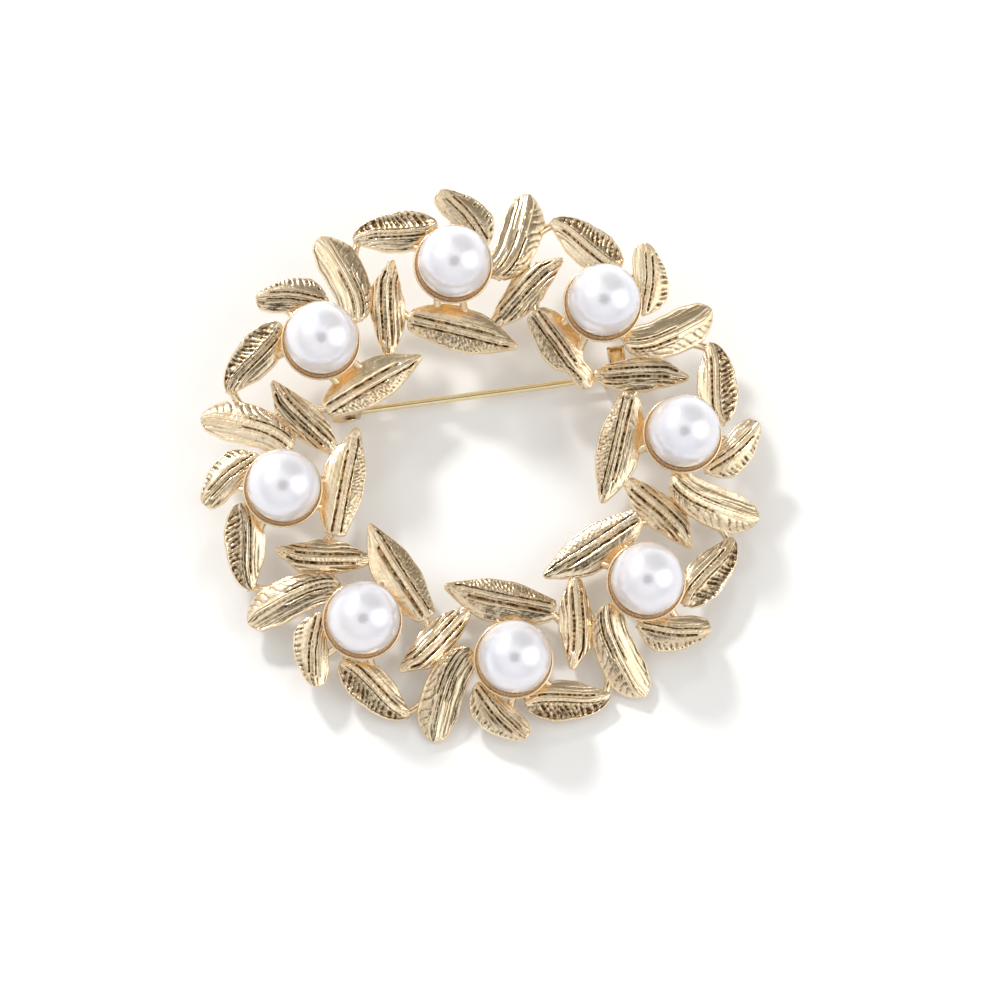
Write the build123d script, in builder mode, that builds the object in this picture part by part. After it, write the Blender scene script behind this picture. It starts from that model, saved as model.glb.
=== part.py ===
from build123d import *

import os
from collections import namedtuple
from math import atan2, cos, degrees, radians, sin, sqrt

# Wreath brooch, in millimetres.
# The wreath is modelled flat, front up, with the first pearl on +Y, and is then laid on its back
# as it rests by itself: on the hinge, on the catch and on its lowest leaf tips.

# Wreath
spray_count = 8
ring_radius = 15.75

# Pearls and their cups
pearl_diameter = 5.7
pearl_gap = 0.03
cup_wall = 0.32
cup_rim_reach = 0.27
cup_rim_drop = 1.3
pearl_height = 4.0

# Leaves: length from root to tip, and greatest width
leaf_a_length = 5.8
leaf_a_width = 2.95
leaf_b_length = 6.7
leaf_b_width = 3.1
leaf_c_length = 7.65
leaf_c_width = 3.1
leaf_d_length = 7.4
leaf_d_width = 2.85
leaf_e_length = 8.85
leaf_e_width = 3.45
leaf_thickness = 0.95
leaf_floor = 0.5
leaf_rise = 1.6

# Heights over one leaf section, as shares of its thickness
groove_share = 0.26
crest_share = 0.06
edge_share = 0.36
hollow_share = 0.84
rib_half_share = 0.09
link_depth_share = 0.72

# Sprue links and lugs
link_diameter = 0.9
lug_diameter = 0.8

# Pin, hinge and catch, soldered across the back
pin_line_y = 6.3
pin_height = -3.0
pin_wire_diameter = 0.6
pin_tip_diameter = 0.12
pin_taper_length = 7.0
pin_overrun = 0.6
pin_neck_diameter = 0.68
pin_neck_length = 0.65
eye_diameter = 1.3
eye_width = 0.66
hinge_x = -9.25
ear_thickness = 0.24
ear_side_gap = 0.05
ear_radius = 0.75
ear_reach = 0.7
rivet_diameter = 0.6
rivet_gap = 0.02
eye_running_gap = 0.05
rivet_head_diameter = 0.84
rivet_head_height = 0.16
plate_thickness = 0.7
plate_sink = 0.42
hinge_plate_length = 2.3
hinge_plate_width = 1.5
hinge_plate_along = 0.2
catch_x = 12.2
catch_plate_length = 2.7
catch_plate_width = 1.4
catch_plate_shift = -0.6
catch_plate_along = 0.33
ring_outer_diameter = 1.7
ring_width = 0.6
ring_mouth = 0.72
ring_web_width = 0.9
sleeve_diameter = 1.16
sleeve_bore = 0.8
sleeve_slot = 0.64
sleeve_gap = 0.05
collar_diameter = 1.66
collar_width = 1.3
tab_length = 1.47
tab_thickness = 0.36

# Worked out from the sizes above
spray_angle = 360 / spray_count
pearl_radius = pearl_diameter / 2
cup_rim_radius = pearl_radius + cup_rim_reach
cup_inner_rim = cup_rim_radius - cup_wall
bowl_depth = pearl_radius + pearl_gap - cup_rim_drop
bowl_radius = (cup_inner_rim**2 + bowl_depth**2) / (2 * bowl_depth)
bowl_centre = pearl_height - cup_rim_drop - bowl_depth + bowl_radius
cup_rim_height = pearl_height - cup_rim_drop
cup_trim = 4 * bowl_radius

Station = namedtuple("Station", "along rib left right thick")
Leaf = namedtuple("Leaf", "name root heading length width root_share tip_share stations")
Link = namedtuple("Link", "start start_along start_side end end_along end_side end_turn")


def on_cup(bearing, reach):
    """Return a point beside the cup of the top spray, at a bearing in degrees from +X."""
    distance = cup_rim_radius + reach
    return Vector(distance * cos(radians(bearing)), ring_radius + distance * sin(radians(bearing)))


def in_ring(across, outward):
    """Return a point of the top spray whose place follows the size of the ring."""
    return Vector(across * ring_radius, ring_radius * (1 + outward))


# Each row is one section across the leaf: its place along the length, then the rib and the two
# edges as shares of the width, left of the rib positive, and its thickness as a share of the leaf's.
STATIONS_A = [
    Station(0.00, -0.02, 0.10, -0.14, 0.60),
    Station(0.15, -0.07, 0.10, -0.52, 0.95),
    Station(0.32, -0.13, 0.18, -0.68, 1.00),
    Station(0.55, -0.16, 0.27, -0.64, 1.00),
    Station(0.76, -0.13, 0.31, -0.47, 0.95),
    Station(0.92, -0.10, 0.26, -0.27, 0.85),
    Station(1.00, -0.05, 0.12, -0.14, 0.50),
]
STATIONS_B = [
    Station(0.00, 0.02, 0.14, -0.14, 0.60),
    Station(0.16, 0.07, 0.33, -0.38, 0.95),
    Station(0.40, 0.02, 0.53, -0.51, 1.00),
    Station(0.60, -0.05, 0.46, -0.50, 1.00),
    Station(0.80, -0.10, 0.27, -0.41, 0.90),
    Station(0.93, -0.06, 0.14, -0.26, 0.75),
    Station(1.00, 0.00, 0.07, -0.10, 0.45),
]
STATIONS_C = [
    Station(0.00, -0.12, 0.08, -0.34, 0.60),
    Station(0.14, -0.27, 0.21, -0.62, 0.95),
    Station(0.32, -0.33, 0.19, -0.77, 1.00),
    Station(0.52, -0.30, 0.24, -0.79, 1.00),
    Station(0.72, -0.23, 0.30, -0.75, 1.00),
    Station(0.88, -0.16, 0.26, -0.55, 0.90),
    Station(1.00, -0.05, 0.06, -0.18, 0.45),
]
STATIONS_D = [
    Station(0.00, 0.00, 0.16, -0.14, 0.60),
    Station(0.14, 0.04, 0.31, -0.27, 0.95),
    Station(0.33, 0.09, 0.47, -0.42, 1.00),
    Station(0.53, 0.14, 0.61, -0.40, 1.00),
    Station(0.72, 0.15, 0.52, -0.27, 0.95),
    Station(0.88, 0.10, 0.26, -0.16, 0.80),
    Station(1.00, 0.00, 0.08, -0.06, 0.45),
]
STATIONS_E = [
    Station(0.00, 0.01, 0.25, -0.18, 0.75),
    Station(0.16, 0.01, 0.47, -0.29, 0.95),
    Station(0.40, 0.02, 0.61, -0.41, 1.00),
    Station(0.60, 0.02, 0.57, -0.39, 1.00),
    Station(0.80, 0.01, 0.37, -0.24, 0.95),
    Station(0.93, 0.00, 0.17, -0.12, 0.75),
    Station(1.00, 0.00, 0.06, -0.05, 0.45),
]

# Headings are in degrees from +X in the top spray. Root and tip heights are shares of leaf_rise.
LEAVES = {
    leaf.name: leaf
    for leaf in [
        Leaf("a", on_cup(24, 0.1), 123.5, leaf_a_length, leaf_a_width, 0.90, 0.75, STATIONS_A),
        Leaf("b", on_cup(99, 0.42), 181, leaf_b_length, leaf_b_width, 0.75, 0.15, STATIONS_B),
        Leaf("c", on_cup(-22, 0.0), 58, leaf_c_length, leaf_c_width, 1.00, 0.00, STATIONS_C),
        Leaf("d", in_ring(0.172, -0.295), 34, leaf_d_length, leaf_d_width, 0.15, 0.65, STATIONS_D),
        Leaf("e", in_ring(-0.257, -0.229), -21, leaf_e_length, leaf_e_width, 0.70, 0.15, STATIONS_E),
    ]
}

# Links run from a place on one leaf to a place on another, or into the wall of the cup, where
# end_along is the bearing round it. end_turn is 1 where the second leaf is in the next spray.
LINKS = [
    Link("c", 0.66, -0.75, "b", 0.94, 0.0, 1),
    Link("d", 0.50, -0.70, "e", 0.06, 0.1, 1),
    Link("d", 0.05, 0.0, "e", 0.76, 0.6, 0),
    Link("d", 0.60, 0.70, "c", 0.26, -0.8, 0),
    Link("a", 0.08, 0.0, "cup", 25, 0.0, 0),
    Link("a", 0.56, 0.7, "cup", 86, 0.0, 0),
    Link("b", 0.06, 0.0, "cup", 100, 0.0, 0),
    Link("b", 0.36, 0.7, "cup", 140, 0.0, 0),
    Link("c", 0.06, 0.0, "cup", -22, 0.0, 0),
    Link("e", 0.24, 0.7, "cup", -130, 0.0, 0),
    Link("e", 0.50, 0.7, "cup", -80, 0.0, 0),
]


def leaf_height(leaf, along):
    """Return the height of a leaf's rib at a share of its length."""
    return leaf_floor + leaf_rise * (leaf.root_share + (leaf.tip_share - leaf.root_share) * along)


def station_at(leaf, along):
    """Return the section of a leaf at a share of its length, between two rows of its table."""
    for before, after in zip(leaf.stations, leaf.stations[1:]):
        if along <= after.along:
            break
    share = (along - before.along) / (after.along - before.along)
    return Station(*(a + (b - a) * share for a, b in zip(before, after)))


def leaf_point(leaf, along, side):
    """Return a point low in a leaf's metal: side is 1 at the left edge, -1 at the right."""
    station = station_at(leaf, along)
    edge = station.left if side > 0 else station.right
    across = (station.rib + (edge - station.rib) * abs(side)) * leaf.width
    offset = Vector(along * leaf.length, across).rotate(Axis.Z, leaf.heading)
    height = leaf_height(leaf, along) - leaf_thickness * link_depth_share
    return leaf.root + offset + Vector(0, 0, height)


def cup_point(bearing):
    """Return a point inside the cup's wall, a little under its rim."""
    height = cup_rim_height - link_diameter
    across = sqrt((bowl_radius + cup_wall / 2) ** 2 - (bowl_centre - height) ** 2)
    turn = radians(bearing)
    return Vector(across * cos(turn), ring_radius + across * sin(turn), height)


def make_leaf(leaf):
    """Return one leaf: two crowned lobes, a raised rib between grooves and a hollowed back."""
    forward = Vector(1, 0, 0).rotate(Axis.Z, leaf.heading)
    leftward = forward.rotate(Axis.Z, 90)
    with BuildPart() as blade:
        for station in leaf.stations:
            rib_point = leaf.root + forward * (station.along * leaf.length)
            rib_point += Vector(0, 0, leaf_height(leaf, station.along))
            left = station.left * leaf.width
            right = station.right * leaf.width
            rib = station.rib * leaf.width
            middle = (left + right) / 2
            half_rib = rib_half_share * (left - right)
            rib_left = rib + half_rib
            rib_right = rib - half_rib
            thickness = leaf_thickness * station.thick
            groove = -groove_share * thickness
            crest = -crest_share * thickness
            edge = -edge_share * thickness
            hollow = -hollow_share * thickness
            with BuildSketch(Plane(rib_point, x_dir=leftward, z_dir=forward)):
                with BuildLine():
                    ThreePointArc((left, edge), ((left + rib_left) / 2, crest), (rib_left, groove))
                    Line((rib_left, groove), (rib, 0))
                    Line((rib, 0), (rib_right, groove))
                    ThreePointArc((rib_right, groove), ((right + rib_right) / 2, crest), (right, edge))
                    Line((right, edge), (right, -thickness))
                    ThreePointArc((right, -thickness), (middle, hollow), (left, -thickness))
                    Line((left, -thickness), (left, edge))
                make_face()
        loft()
    return blade.part


def make_link(start, end, diameter):
    """Return a round link between two points."""
    along = end - start
    with BuildPart() as rod:
        with BuildSketch(Plane(start, z_dir=along)):
            Circle(diameter / 2)
        extrude(amount=along.length)
    return rod.part


def turned(point, steps):
    """Return a point moved round the wreath by whole sprays, clockwise."""
    return point.rotate(Axis.Z, -steps * spray_angle)


# Pearl cup: a shallow bowl under the pearl
with BuildPart() as cup:
    with BuildSketch(Plane.XZ) as cup_profile:
        with Locations((0, bowl_centre)):
            Circle(bowl_radius + cup_wall)
            Circle(bowl_radius, mode=Mode.SUBTRACT)
        with Locations((0, cup_rim_height)):
            Rectangle(cup_trim, cup_trim, align=(Align.CENTER, Align.MIN), mode=Mode.SUBTRACT)
            Rectangle(cup_trim, cup_trim, align=(Align.MAX, Align.MAX), mode=Mode.SUBTRACT)
    revolve(axis=Axis.Z)

# One spray: cup, five leaves and their links
blades = [make_leaf(leaf) for leaf in LEAVES.values()]
rods = []
for link in LINKS:
    first = leaf_point(LEAVES[link.start], link.start_along, link.start_side)
    if link.end == "cup":
        last = cup_point(link.end_along)
        rods.append(make_link(first, last, lug_diameter))
    else:
        last = turned(leaf_point(LEAVES[link.end], link.end_along, link.end_side), link.end_turn)
        rods.append(make_link(first, last, link_diameter))

with BuildPart() as spray:
    with Locations((0, ring_radius, 0)):
        add(cup.part)
    add(blades)
    add(rods)

# The whole ring of sprays
with BuildPart() as ring:
    with PolarLocations(0, spray_count):
        add(spray.part)

# Places across the back, from the leaves that carry the hinge and the catch
plate_rise = plate_sink - hollow_share * leaf_thickness
hinge_plate_top = leaf_height(LEAVES["e"], hinge_plate_along) + plate_rise
catch_plate_top = leaf_height(LEAVES["d"], catch_plate_along) + plate_rise
hinge_axis = Vector(hinge_x, pin_line_y, pin_height)
catch_axis = Vector(catch_x, pin_line_y, pin_height)
ear_middle = eye_width / 2 + ear_side_gap + ear_thickness / 2
ear_outside = ear_middle + ear_thickness / 2
ring_middle = collar_width / 2 + sleeve_gap + ring_width / 2
sleeve_length = 2 * ring_middle + ring_width
rivet_radius = rivet_diameter / 2
from_below = (Align.CENTER, Align.CENTER, Align.MAX)

# Hinge bracket: a plate soldered under the leaves, with two long ears
with BuildPart() as hinge_bracket:
    with Locations((hinge_x - ear_reach / 2, pin_line_y, hinge_plate_top)):
        Box(hinge_plate_length, hinge_plate_width, plate_thickness, align=from_below)
    ear_height = hinge_plate_top - plate_thickness / 2 - pin_height
    for side in (-1, 1):
        ear_origin = hinge_axis + Vector(0, side * ear_middle, 0)
        with BuildSketch(Plane(ear_origin, x_dir=(1, 0, 0), z_dir=(0, -1, 0))):
            Circle(ear_radius)
            with Locations((-ear_reach, 0)):
                Circle(ear_radius)
            with Locations((-ear_reach / 2, 0)):
                Rectangle(ear_reach, 2 * ear_radius)
                Rectangle(ear_reach + 2 * ear_radius, ear_height, align=(Align.CENTER, Align.MIN))
            Circle(rivet_radius + rivet_gap, mode=Mode.SUBTRACT)
        extrude(amount=ear_thickness / 2, both=True)

# Catch body: a plate soldered under the leaves, with two open rings on webs
with BuildPart() as catch_body:
    with Locations((catch_x, pin_line_y + catch_plate_shift, catch_plate_top)):
        Box(catch_plate_length, catch_plate_width, plate_thickness, align=from_below)
    web_height = catch_plate_top - plate_thickness / 2 - pin_height
    for side in (-1, 1):
        ring_origin = catch_axis + Vector(side * ring_middle, 0, 0)
        with BuildSketch(Plane(ring_origin, x_dir=(0, 1, 0), z_dir=(1, 0, 0))):
            Circle(ring_outer_diameter / 2)
            Rectangle(ring_web_width, web_height, align=(Align.CENTER, Align.MIN))
            Circle(sleeve_diameter / 2 + sleeve_gap, mode=Mode.SUBTRACT)
            mouth_align = (Align.CENTER, Align.MAX)
            Rectangle(ring_mouth, ring_outer_diameter, align=mouth_align, mode=Mode.SUBTRACT)
        extrude(amount=ring_width / 2, both=True)

# The casting with its soldered hinge bracket and catch body is one solid
with BuildPart() as wreath_casting:
    add(ring.part)
    add(hinge_bracket.part)
    add(catch_body.part)
wreath_casting.part.label = "wreath_casting"

# Pearls, clockwise from the top
pearls = []
for number in range(spray_count):
    centre = turned(Vector(0, ring_radius, pearl_height), number)
    with BuildPart() as pearl:
        with Locations(centre):
            Sphere(pearl_radius)
    pearl.part.label = f"pearl_{number + 1}"
    pearls.append(pearl.part)

# Pin stem: an eye on the rivet, a tapering neck and a wire with a long point past the catch
pin_tip_x = catch_x + sleeve_length / 2 + pin_overrun
wire_radius = pin_wire_diameter / 2
neck_end = eye_diameter / 2 + pin_neck_length
taper_start = pin_tip_x - pin_taper_length - hinge_x
with BuildPart() as pin_stem:
    with BuildSketch(Plane(hinge_axis, x_dir=(1, 0, 0), z_dir=(0, -1, 0))):
        with BuildLine():
            Polyline(
                (0, 0),
                (0, pin_neck_diameter / 2),
                (neck_end, wire_radius),
                (taper_start, wire_radius),
                (pin_tip_x - hinge_x, pin_tip_diameter / 2),
                (pin_tip_x - hinge_x, 0),
                close=True,
            )
        make_face()
    revolve(axis=Axis(hinge_axis, (1, 0, 0)))
    with BuildSketch(Plane(hinge_axis, x_dir=(1, 0, 0), z_dir=(0, -1, 0))):
        Circle(eye_diameter / 2)
    extrude(amount=eye_width / 2, both=True)
    with BuildSketch(Plane(hinge_axis, x_dir=(1, 0, 0), z_dir=(0, -1, 0))):
        Circle(rivet_radius + eye_running_gap)
    extrude(amount=eye_width, both=True, mode=Mode.SUBTRACT)
pin_stem.part.label = "pin_stem"

# Rivet through the ears and the eye
with BuildPart() as hinge_rivet:
    with BuildSketch(Plane(hinge_axis, x_dir=(1, 0, 0), z_dir=(0, -1, 0))):
        Circle(rivet_radius)
    extrude(amount=ear_outside + rivet_gap, both=True)
    for side in (-1, 1):
        head_origin = hinge_axis + Vector(0, side * (ear_outside + rivet_gap + rivet_head_height / 2), 0)
        with BuildSketch(Plane(head_origin, x_dir=(1, 0, 0), z_dir=(0, -1, 0))):
            Circle(rivet_head_diameter / 2)
        extrude(amount=rivet_head_height / 2, both=True)
hinge_rivet.part.label = "hinge_rivet"

# Catch lever: a slotted sleeve in the rings, with a collar and a thumb tab between them
with BuildPart() as catch_lever:
    with BuildSketch(Plane(catch_axis, x_dir=(0, 1, 0), z_dir=(1, 0, 0))):
        Circle(sleeve_diameter / 2)
    extrude(amount=sleeve_length / 2, both=True)
    with BuildSketch(Plane(catch_axis, x_dir=(0, 1, 0), z_dir=(1, 0, 0))):
        Circle(collar_diameter / 2)
        Rectangle(collar_diameter / 2 + tab_length, tab_thickness, align=(Align.MIN, Align.CENTER))
    extrude(amount=collar_width / 2, both=True)
    with BuildSketch(Plane(catch_axis, x_dir=(0, 1, 0), z_dir=(1, 0, 0))):
        Circle(sleeve_bore / 2)
        Rectangle(sleeve_slot, collar_diameter, align=(Align.CENTER, Align.MAX))
    extrude(amount=sleeve_length, both=True, mode=Mode.SUBTRACT)
catch_lever.part.label = "catch_lever"

# Resting pose: the front tips up at +Y until the hinge's ears and the lowest leaf tip touch
# the surface, and the origin is then the middle of the underside of the whole thing's box.
toe = turned(leaf_point(LEAVES["c"], 1.0, 0.0), spray_count // 2)
toe_height = leaf_height(LEAVES["c"], 1.0) - LEAVES["c"].stations[-1].thick * leaf_thickness
foot_y = pin_line_y - ear_outside
foot_height = pin_height - ear_radius
tilt = degrees(atan2(toe_height - foot_height, foot_y - toe.Y))
pieces = [wreath_casting.part, *pearls, pin_stem.part, hinge_rivet.part, catch_lever.part]
tipped = Location((0, 0, 0), (tilt, 0, 0))
box = Compound([piece.moved(tipped) for piece in pieces]).bounding_box()
resting = Location((-box.center().X, -box.center().Y, -box.min.Z)) * tipped

os.makedirs("parts", exist_ok=True)
for piece in pieces:
    export_step(piece.moved(resting), f"parts/{piece.label}.step")

wire_middle = hinge_axis + Vector((neck_end + taper_start) / 2, 0, 0)
print("tilt", round(tilt, 4), "box", box.size)
print("wire length", round(taper_start - neck_end, 4))
points = {"hinge": hinge_axis, "catch": catch_axis, "wire middle": wire_middle}
for name, point in points.items():
    print(name, (resting * Location(point)).position)
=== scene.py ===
"""Looks of the wreath brooch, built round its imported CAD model.

The wreath is drawn flat, front up, with the first pearl on +Y and the foot of the casting at
height 0. Each finished mesh is then laid into the row frame, which is found from the packed
pearls. Lengths are in metres.
"""

import logging
from dataclasses import asdict, dataclass, field
from enum import Enum
from functools import cache, reduce
from math import asin, cos, pi, radians, sin, sqrt, tau

import bmesh
import bpy
import numpy as np
from mathutils import Matrix, Vector


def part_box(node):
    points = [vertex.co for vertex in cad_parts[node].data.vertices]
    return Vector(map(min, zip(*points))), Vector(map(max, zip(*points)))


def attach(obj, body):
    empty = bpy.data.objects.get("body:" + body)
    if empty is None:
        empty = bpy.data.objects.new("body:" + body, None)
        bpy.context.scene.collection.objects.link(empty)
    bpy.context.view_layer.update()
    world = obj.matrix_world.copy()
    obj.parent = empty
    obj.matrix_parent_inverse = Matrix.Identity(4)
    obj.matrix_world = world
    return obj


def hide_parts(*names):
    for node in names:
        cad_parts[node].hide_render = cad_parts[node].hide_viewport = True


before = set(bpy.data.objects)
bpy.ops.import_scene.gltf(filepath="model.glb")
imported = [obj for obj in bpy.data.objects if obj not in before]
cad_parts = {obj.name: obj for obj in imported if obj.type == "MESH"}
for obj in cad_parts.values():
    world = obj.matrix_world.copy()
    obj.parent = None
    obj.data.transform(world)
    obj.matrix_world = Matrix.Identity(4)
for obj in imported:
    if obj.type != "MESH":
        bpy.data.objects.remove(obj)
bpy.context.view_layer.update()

MM = 0.001
SPRAYS = 8
SPRAY_STEP = tau / SPRAYS
NO_WIDTH = 1e-9
SHARP_ANGLE = radians(40)
LOG = logging.getLogger("wreath_brooch")


# Small tools for curves, noise, meshes and nodes


def smoothstep(low: float, high: float, value: np.ndarray) -> np.ndarray:
    """Ease from 0 to 1 between two values."""
    share = np.clip((value - low) / (high - low), 0.0, 1.0)
    return share * share * (3.0 - 2.0 * share)


def smooth_through(at: np.ndarray, known: np.ndarray, values: np.ndarray) -> np.ndarray:
    """Interpolate a table by a cubic that keeps to its rises and falls.

    Args:
        at: Where to read the curve.
        known: Rising places of the table's rows.
        values: The table's values at those places.

    Returns:
        The curve's value at each place asked for.
    """
    gaps = np.diff(known)
    slopes = np.diff(values) / gaps
    tangents = np.zeros_like(values)
    tangents[0], tangents[-1] = slopes[0], slopes[-1]
    same_way = slopes[:-1] * slopes[1:] > 0
    before, after = slopes[:-1][same_way], slopes[1:][same_way]
    tangents[1:-1][same_way] = 2 * before * after / (before + after)
    row = np.clip(np.searchsorted(known, at, side="right") - 1, 0, len(gaps) - 1)
    share = (at - known[row]) / gaps[row]
    square, cube = share**2, share**3
    return (
        (2 * cube - 3 * square + 1) * values[row]
        + (cube - 2 * square + share) * gaps[row] * tangents[row]
        + (3 * square - 2 * cube) * values[row + 1]
        + (cube - square) * gaps[row] * tangents[row + 1]
    )


def ripples(x: np.ndarray, y: np.ndarray, wavelength: float, seed: int) -> np.ndarray:
    """Sum a few waves of random heading into a smooth uneven surface.

    Args:
        x: First coordinate.
        y: Second coordinate.
        wavelength: Mean length of the waves.
        seed: Chooses the waves.

    Returns:
        Heights of about -1 to 1.
    """
    count = 7
    rng = np.random.default_rng(seed)
    total = np.zeros_like(x + y)
    for _ in range(count):
        heading, phase, stretch = rng.uniform(0, tau), rng.uniform(0, tau), rng.uniform(0.7, 1.4)
        distance = x * cos(heading) + y * sin(heading)
        total += np.sin(tau * stretch * distance / wavelength + phase)
    return total / sqrt(count)


def furrows(angle: np.ndarray, sharpness: float) -> np.ndarray:
    """Return a row of furrows from 0 to 1, one for each whole turn of the angle."""
    return (0.5 - 0.5 * np.cos(angle)) ** sharpness


def linked(name: str, data: bpy.types.ID) -> bpy.types.Object:
    """Make an object of a mesh, lamp or camera and link it to the scene."""
    made = bpy.data.objects.new(name, data)
    bpy.context.scene.collection.objects.link(made)
    return made


@dataclass
class Shell:
    """Points and faces of one or more closed shells, with values kept at the points."""

    points: np.ndarray
    faces: list[tuple[int, ...]]
    values: dict[str, np.ndarray] = field(default_factory=dict)

    def joined(self, other: "Shell") -> "Shell":
        """Return one shell that holds both."""
        shift = len(self.points)
        faces = self.faces + [tuple(corner + shift for corner in face) for face in other.faces]
        values = {name: np.concatenate([value, other.values[name]]) for name, value in self.values.items()}
        return Shell(np.concatenate([self.points, other.points]), faces, values)

    def moved(self, matrix: Matrix) -> "Shell":
        """Return the shell with its points moved by a matrix."""
        turn = np.array(matrix.to_3x3())
        shift = np.array(matrix.to_translation())
        return Shell(self.points @ turn.T + shift, self.faces, self.values)

    def to_object(self, name: str) -> bpy.types.Object:
        """Make a smooth-shaded object of the shell, with its faces outward.

        Args:
            name: Name of the object and its mesh.

        Returns:
            The new object, linked to the scene.
        """
        mesh = bpy.data.meshes.new(name)
        mesh.from_pydata(self.points.tolist(), [], self.faces)
        for title, value in self.values.items():
            kind = "FLOAT_VECTOR" if value.ndim == 2 else "FLOAT"
            attribute = mesh.attributes.new(title, kind, "POINT")
            attribute.data.foreach_set("vector" if value.ndim == 2 else "value", value.ravel())
        work = bmesh.new()
        work.from_mesh(mesh)
        bmesh.ops.recalc_face_normals(work, faces=work.faces)
        for face in work.faces:
            face.smooth = True
        work.to_mesh(mesh)
        work.free()
        return linked(name, mesh)


def ring_faces(rows: int, columns: int, looped: bool = False) -> list[tuple[int, ...]]:
    """Return the faces between rings of points that follow one another.

    Args:
        rows: Number of rings.
        columns: Points in each ring.
        looped: Whether the last ring meets the first.

    Returns:
        Corners of each face, ring by ring.
    """
    faces: list[tuple[int, ...]] = []
    for row in range(rows if looped else rows - 1):
        low, high = row * columns, (row + 1) % rows * columns
        for column in range(columns):
            after = (column + 1) % columns
            faces.append((low + column, low + after, high + after, high + column))
    return faces


def capped_faces(rows: int, columns: int) -> list[tuple[int, ...]]:
    """Return the faces between rings of points, and one face over each end."""
    last = (rows - 1) * columns
    return [*ring_faces(rows, columns), tuple(range(columns)), tuple(range(last, last + columns))]


def lathe(profile: np.ndarray, segments: int) -> Shell:
    """Turn a profile round the Z axis into a closed shell.

    Args:
        profile: Rows of radius and height, from the axis back to the axis.
        segments: Faces round the axis.

    Returns:
        The turned shell.
    """
    angles = np.linspace(0, tau, segments, endpoint=False)
    radii, heights = profile[1:-1, 0], profile[1:-1, 1:2]
    sides = [np.outer(radii, np.cos(angles)), np.outer(radii, np.sin(angles))]
    rings = np.stack([*sides, np.repeat(heights, segments, axis=1)], axis=-1).reshape(-1, 3)
    poles = np.array([[0, 0, profile[0, 1]], [0, 0, profile[-1, 1]]])
    first, last, top = len(rings), len(rings) + 1, len(rings) - segments
    faces = ring_faces(len(radii), segments)
    for column in range(segments):
        after = (column + 1) % segments
        faces += [(first, after, column), (last, top + column, top + after)]
    return Shell(np.concatenate([rings, poles]), faces)


def banded(outer: np.ndarray, inner: np.ndarray, low: float, high: float, closed: bool) -> Shell:
    """Stand a flat band between two outlines up along Z.

    Args:
        outer: Rows of x and y along the outside of the band.
        inner: As many rows along its inside.
        low: Lower face of the band.
        high: Upper face of the band.
        closed: Whether the band runs back into itself, or has two ends.

    Returns:
        The closed shell of the band.
    """
    corners = ((outer, low), (outer, high), (inner, high), (inner, low))
    points = np.stack([np.column_stack([line, np.full(len(line), z)]) for line, z in corners], axis=1)
    faces = ring_faces(len(outer), 4, looped=True) if closed else capped_faces(len(outer), 4)
    return Shell(points.reshape(-1, 3), faces)


def slab(centre: tuple[float, float, float], size: tuple[float, float, float]) -> Shell:
    """Return the closed shell of a block, to be softened by a bevel."""
    signs = np.array([[x, y, z] for x in (-1, 1) for y in (-1, 1) for z in (-1, 1)])
    points = np.array(centre) + signs * np.array(size) / 2
    faces = [(0, 1, 3, 2), (4, 6, 7, 5), (0, 4, 5, 1), (2, 3, 7, 6), (0, 2, 6, 4), (1, 5, 7, 3)]
    return Shell(points, faces)


def tube(path: np.ndarray, radii: np.ndarray, segments: int) -> Shell:
    """Sweep circles along a nearly straight path into a closed rod.

    Args:
        path: Points along the middle of the rod.
        radii: Radius at each point.
        segments: Faces round the rod.

    Returns:
        The closed shell of the rod.
    """
    forward = path[-1] - path[0]
    forward = forward / np.linalg.norm(forward)
    aside = np.cross(forward, [0.0, 0.0, 1.0])
    aside = aside / np.linalg.norm(aside)
    above = np.cross(aside, forward)
    angles = np.linspace(0, tau, segments, endpoint=False)
    circle = np.outer(np.cos(angles), aside) + np.outer(np.sin(angles), above)
    rings = path[:, None, :] + radii[:, None, None] * circle[None, :, :]
    return Shell(rings.reshape(-1, 3), capped_faces(len(path), segments))


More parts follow.
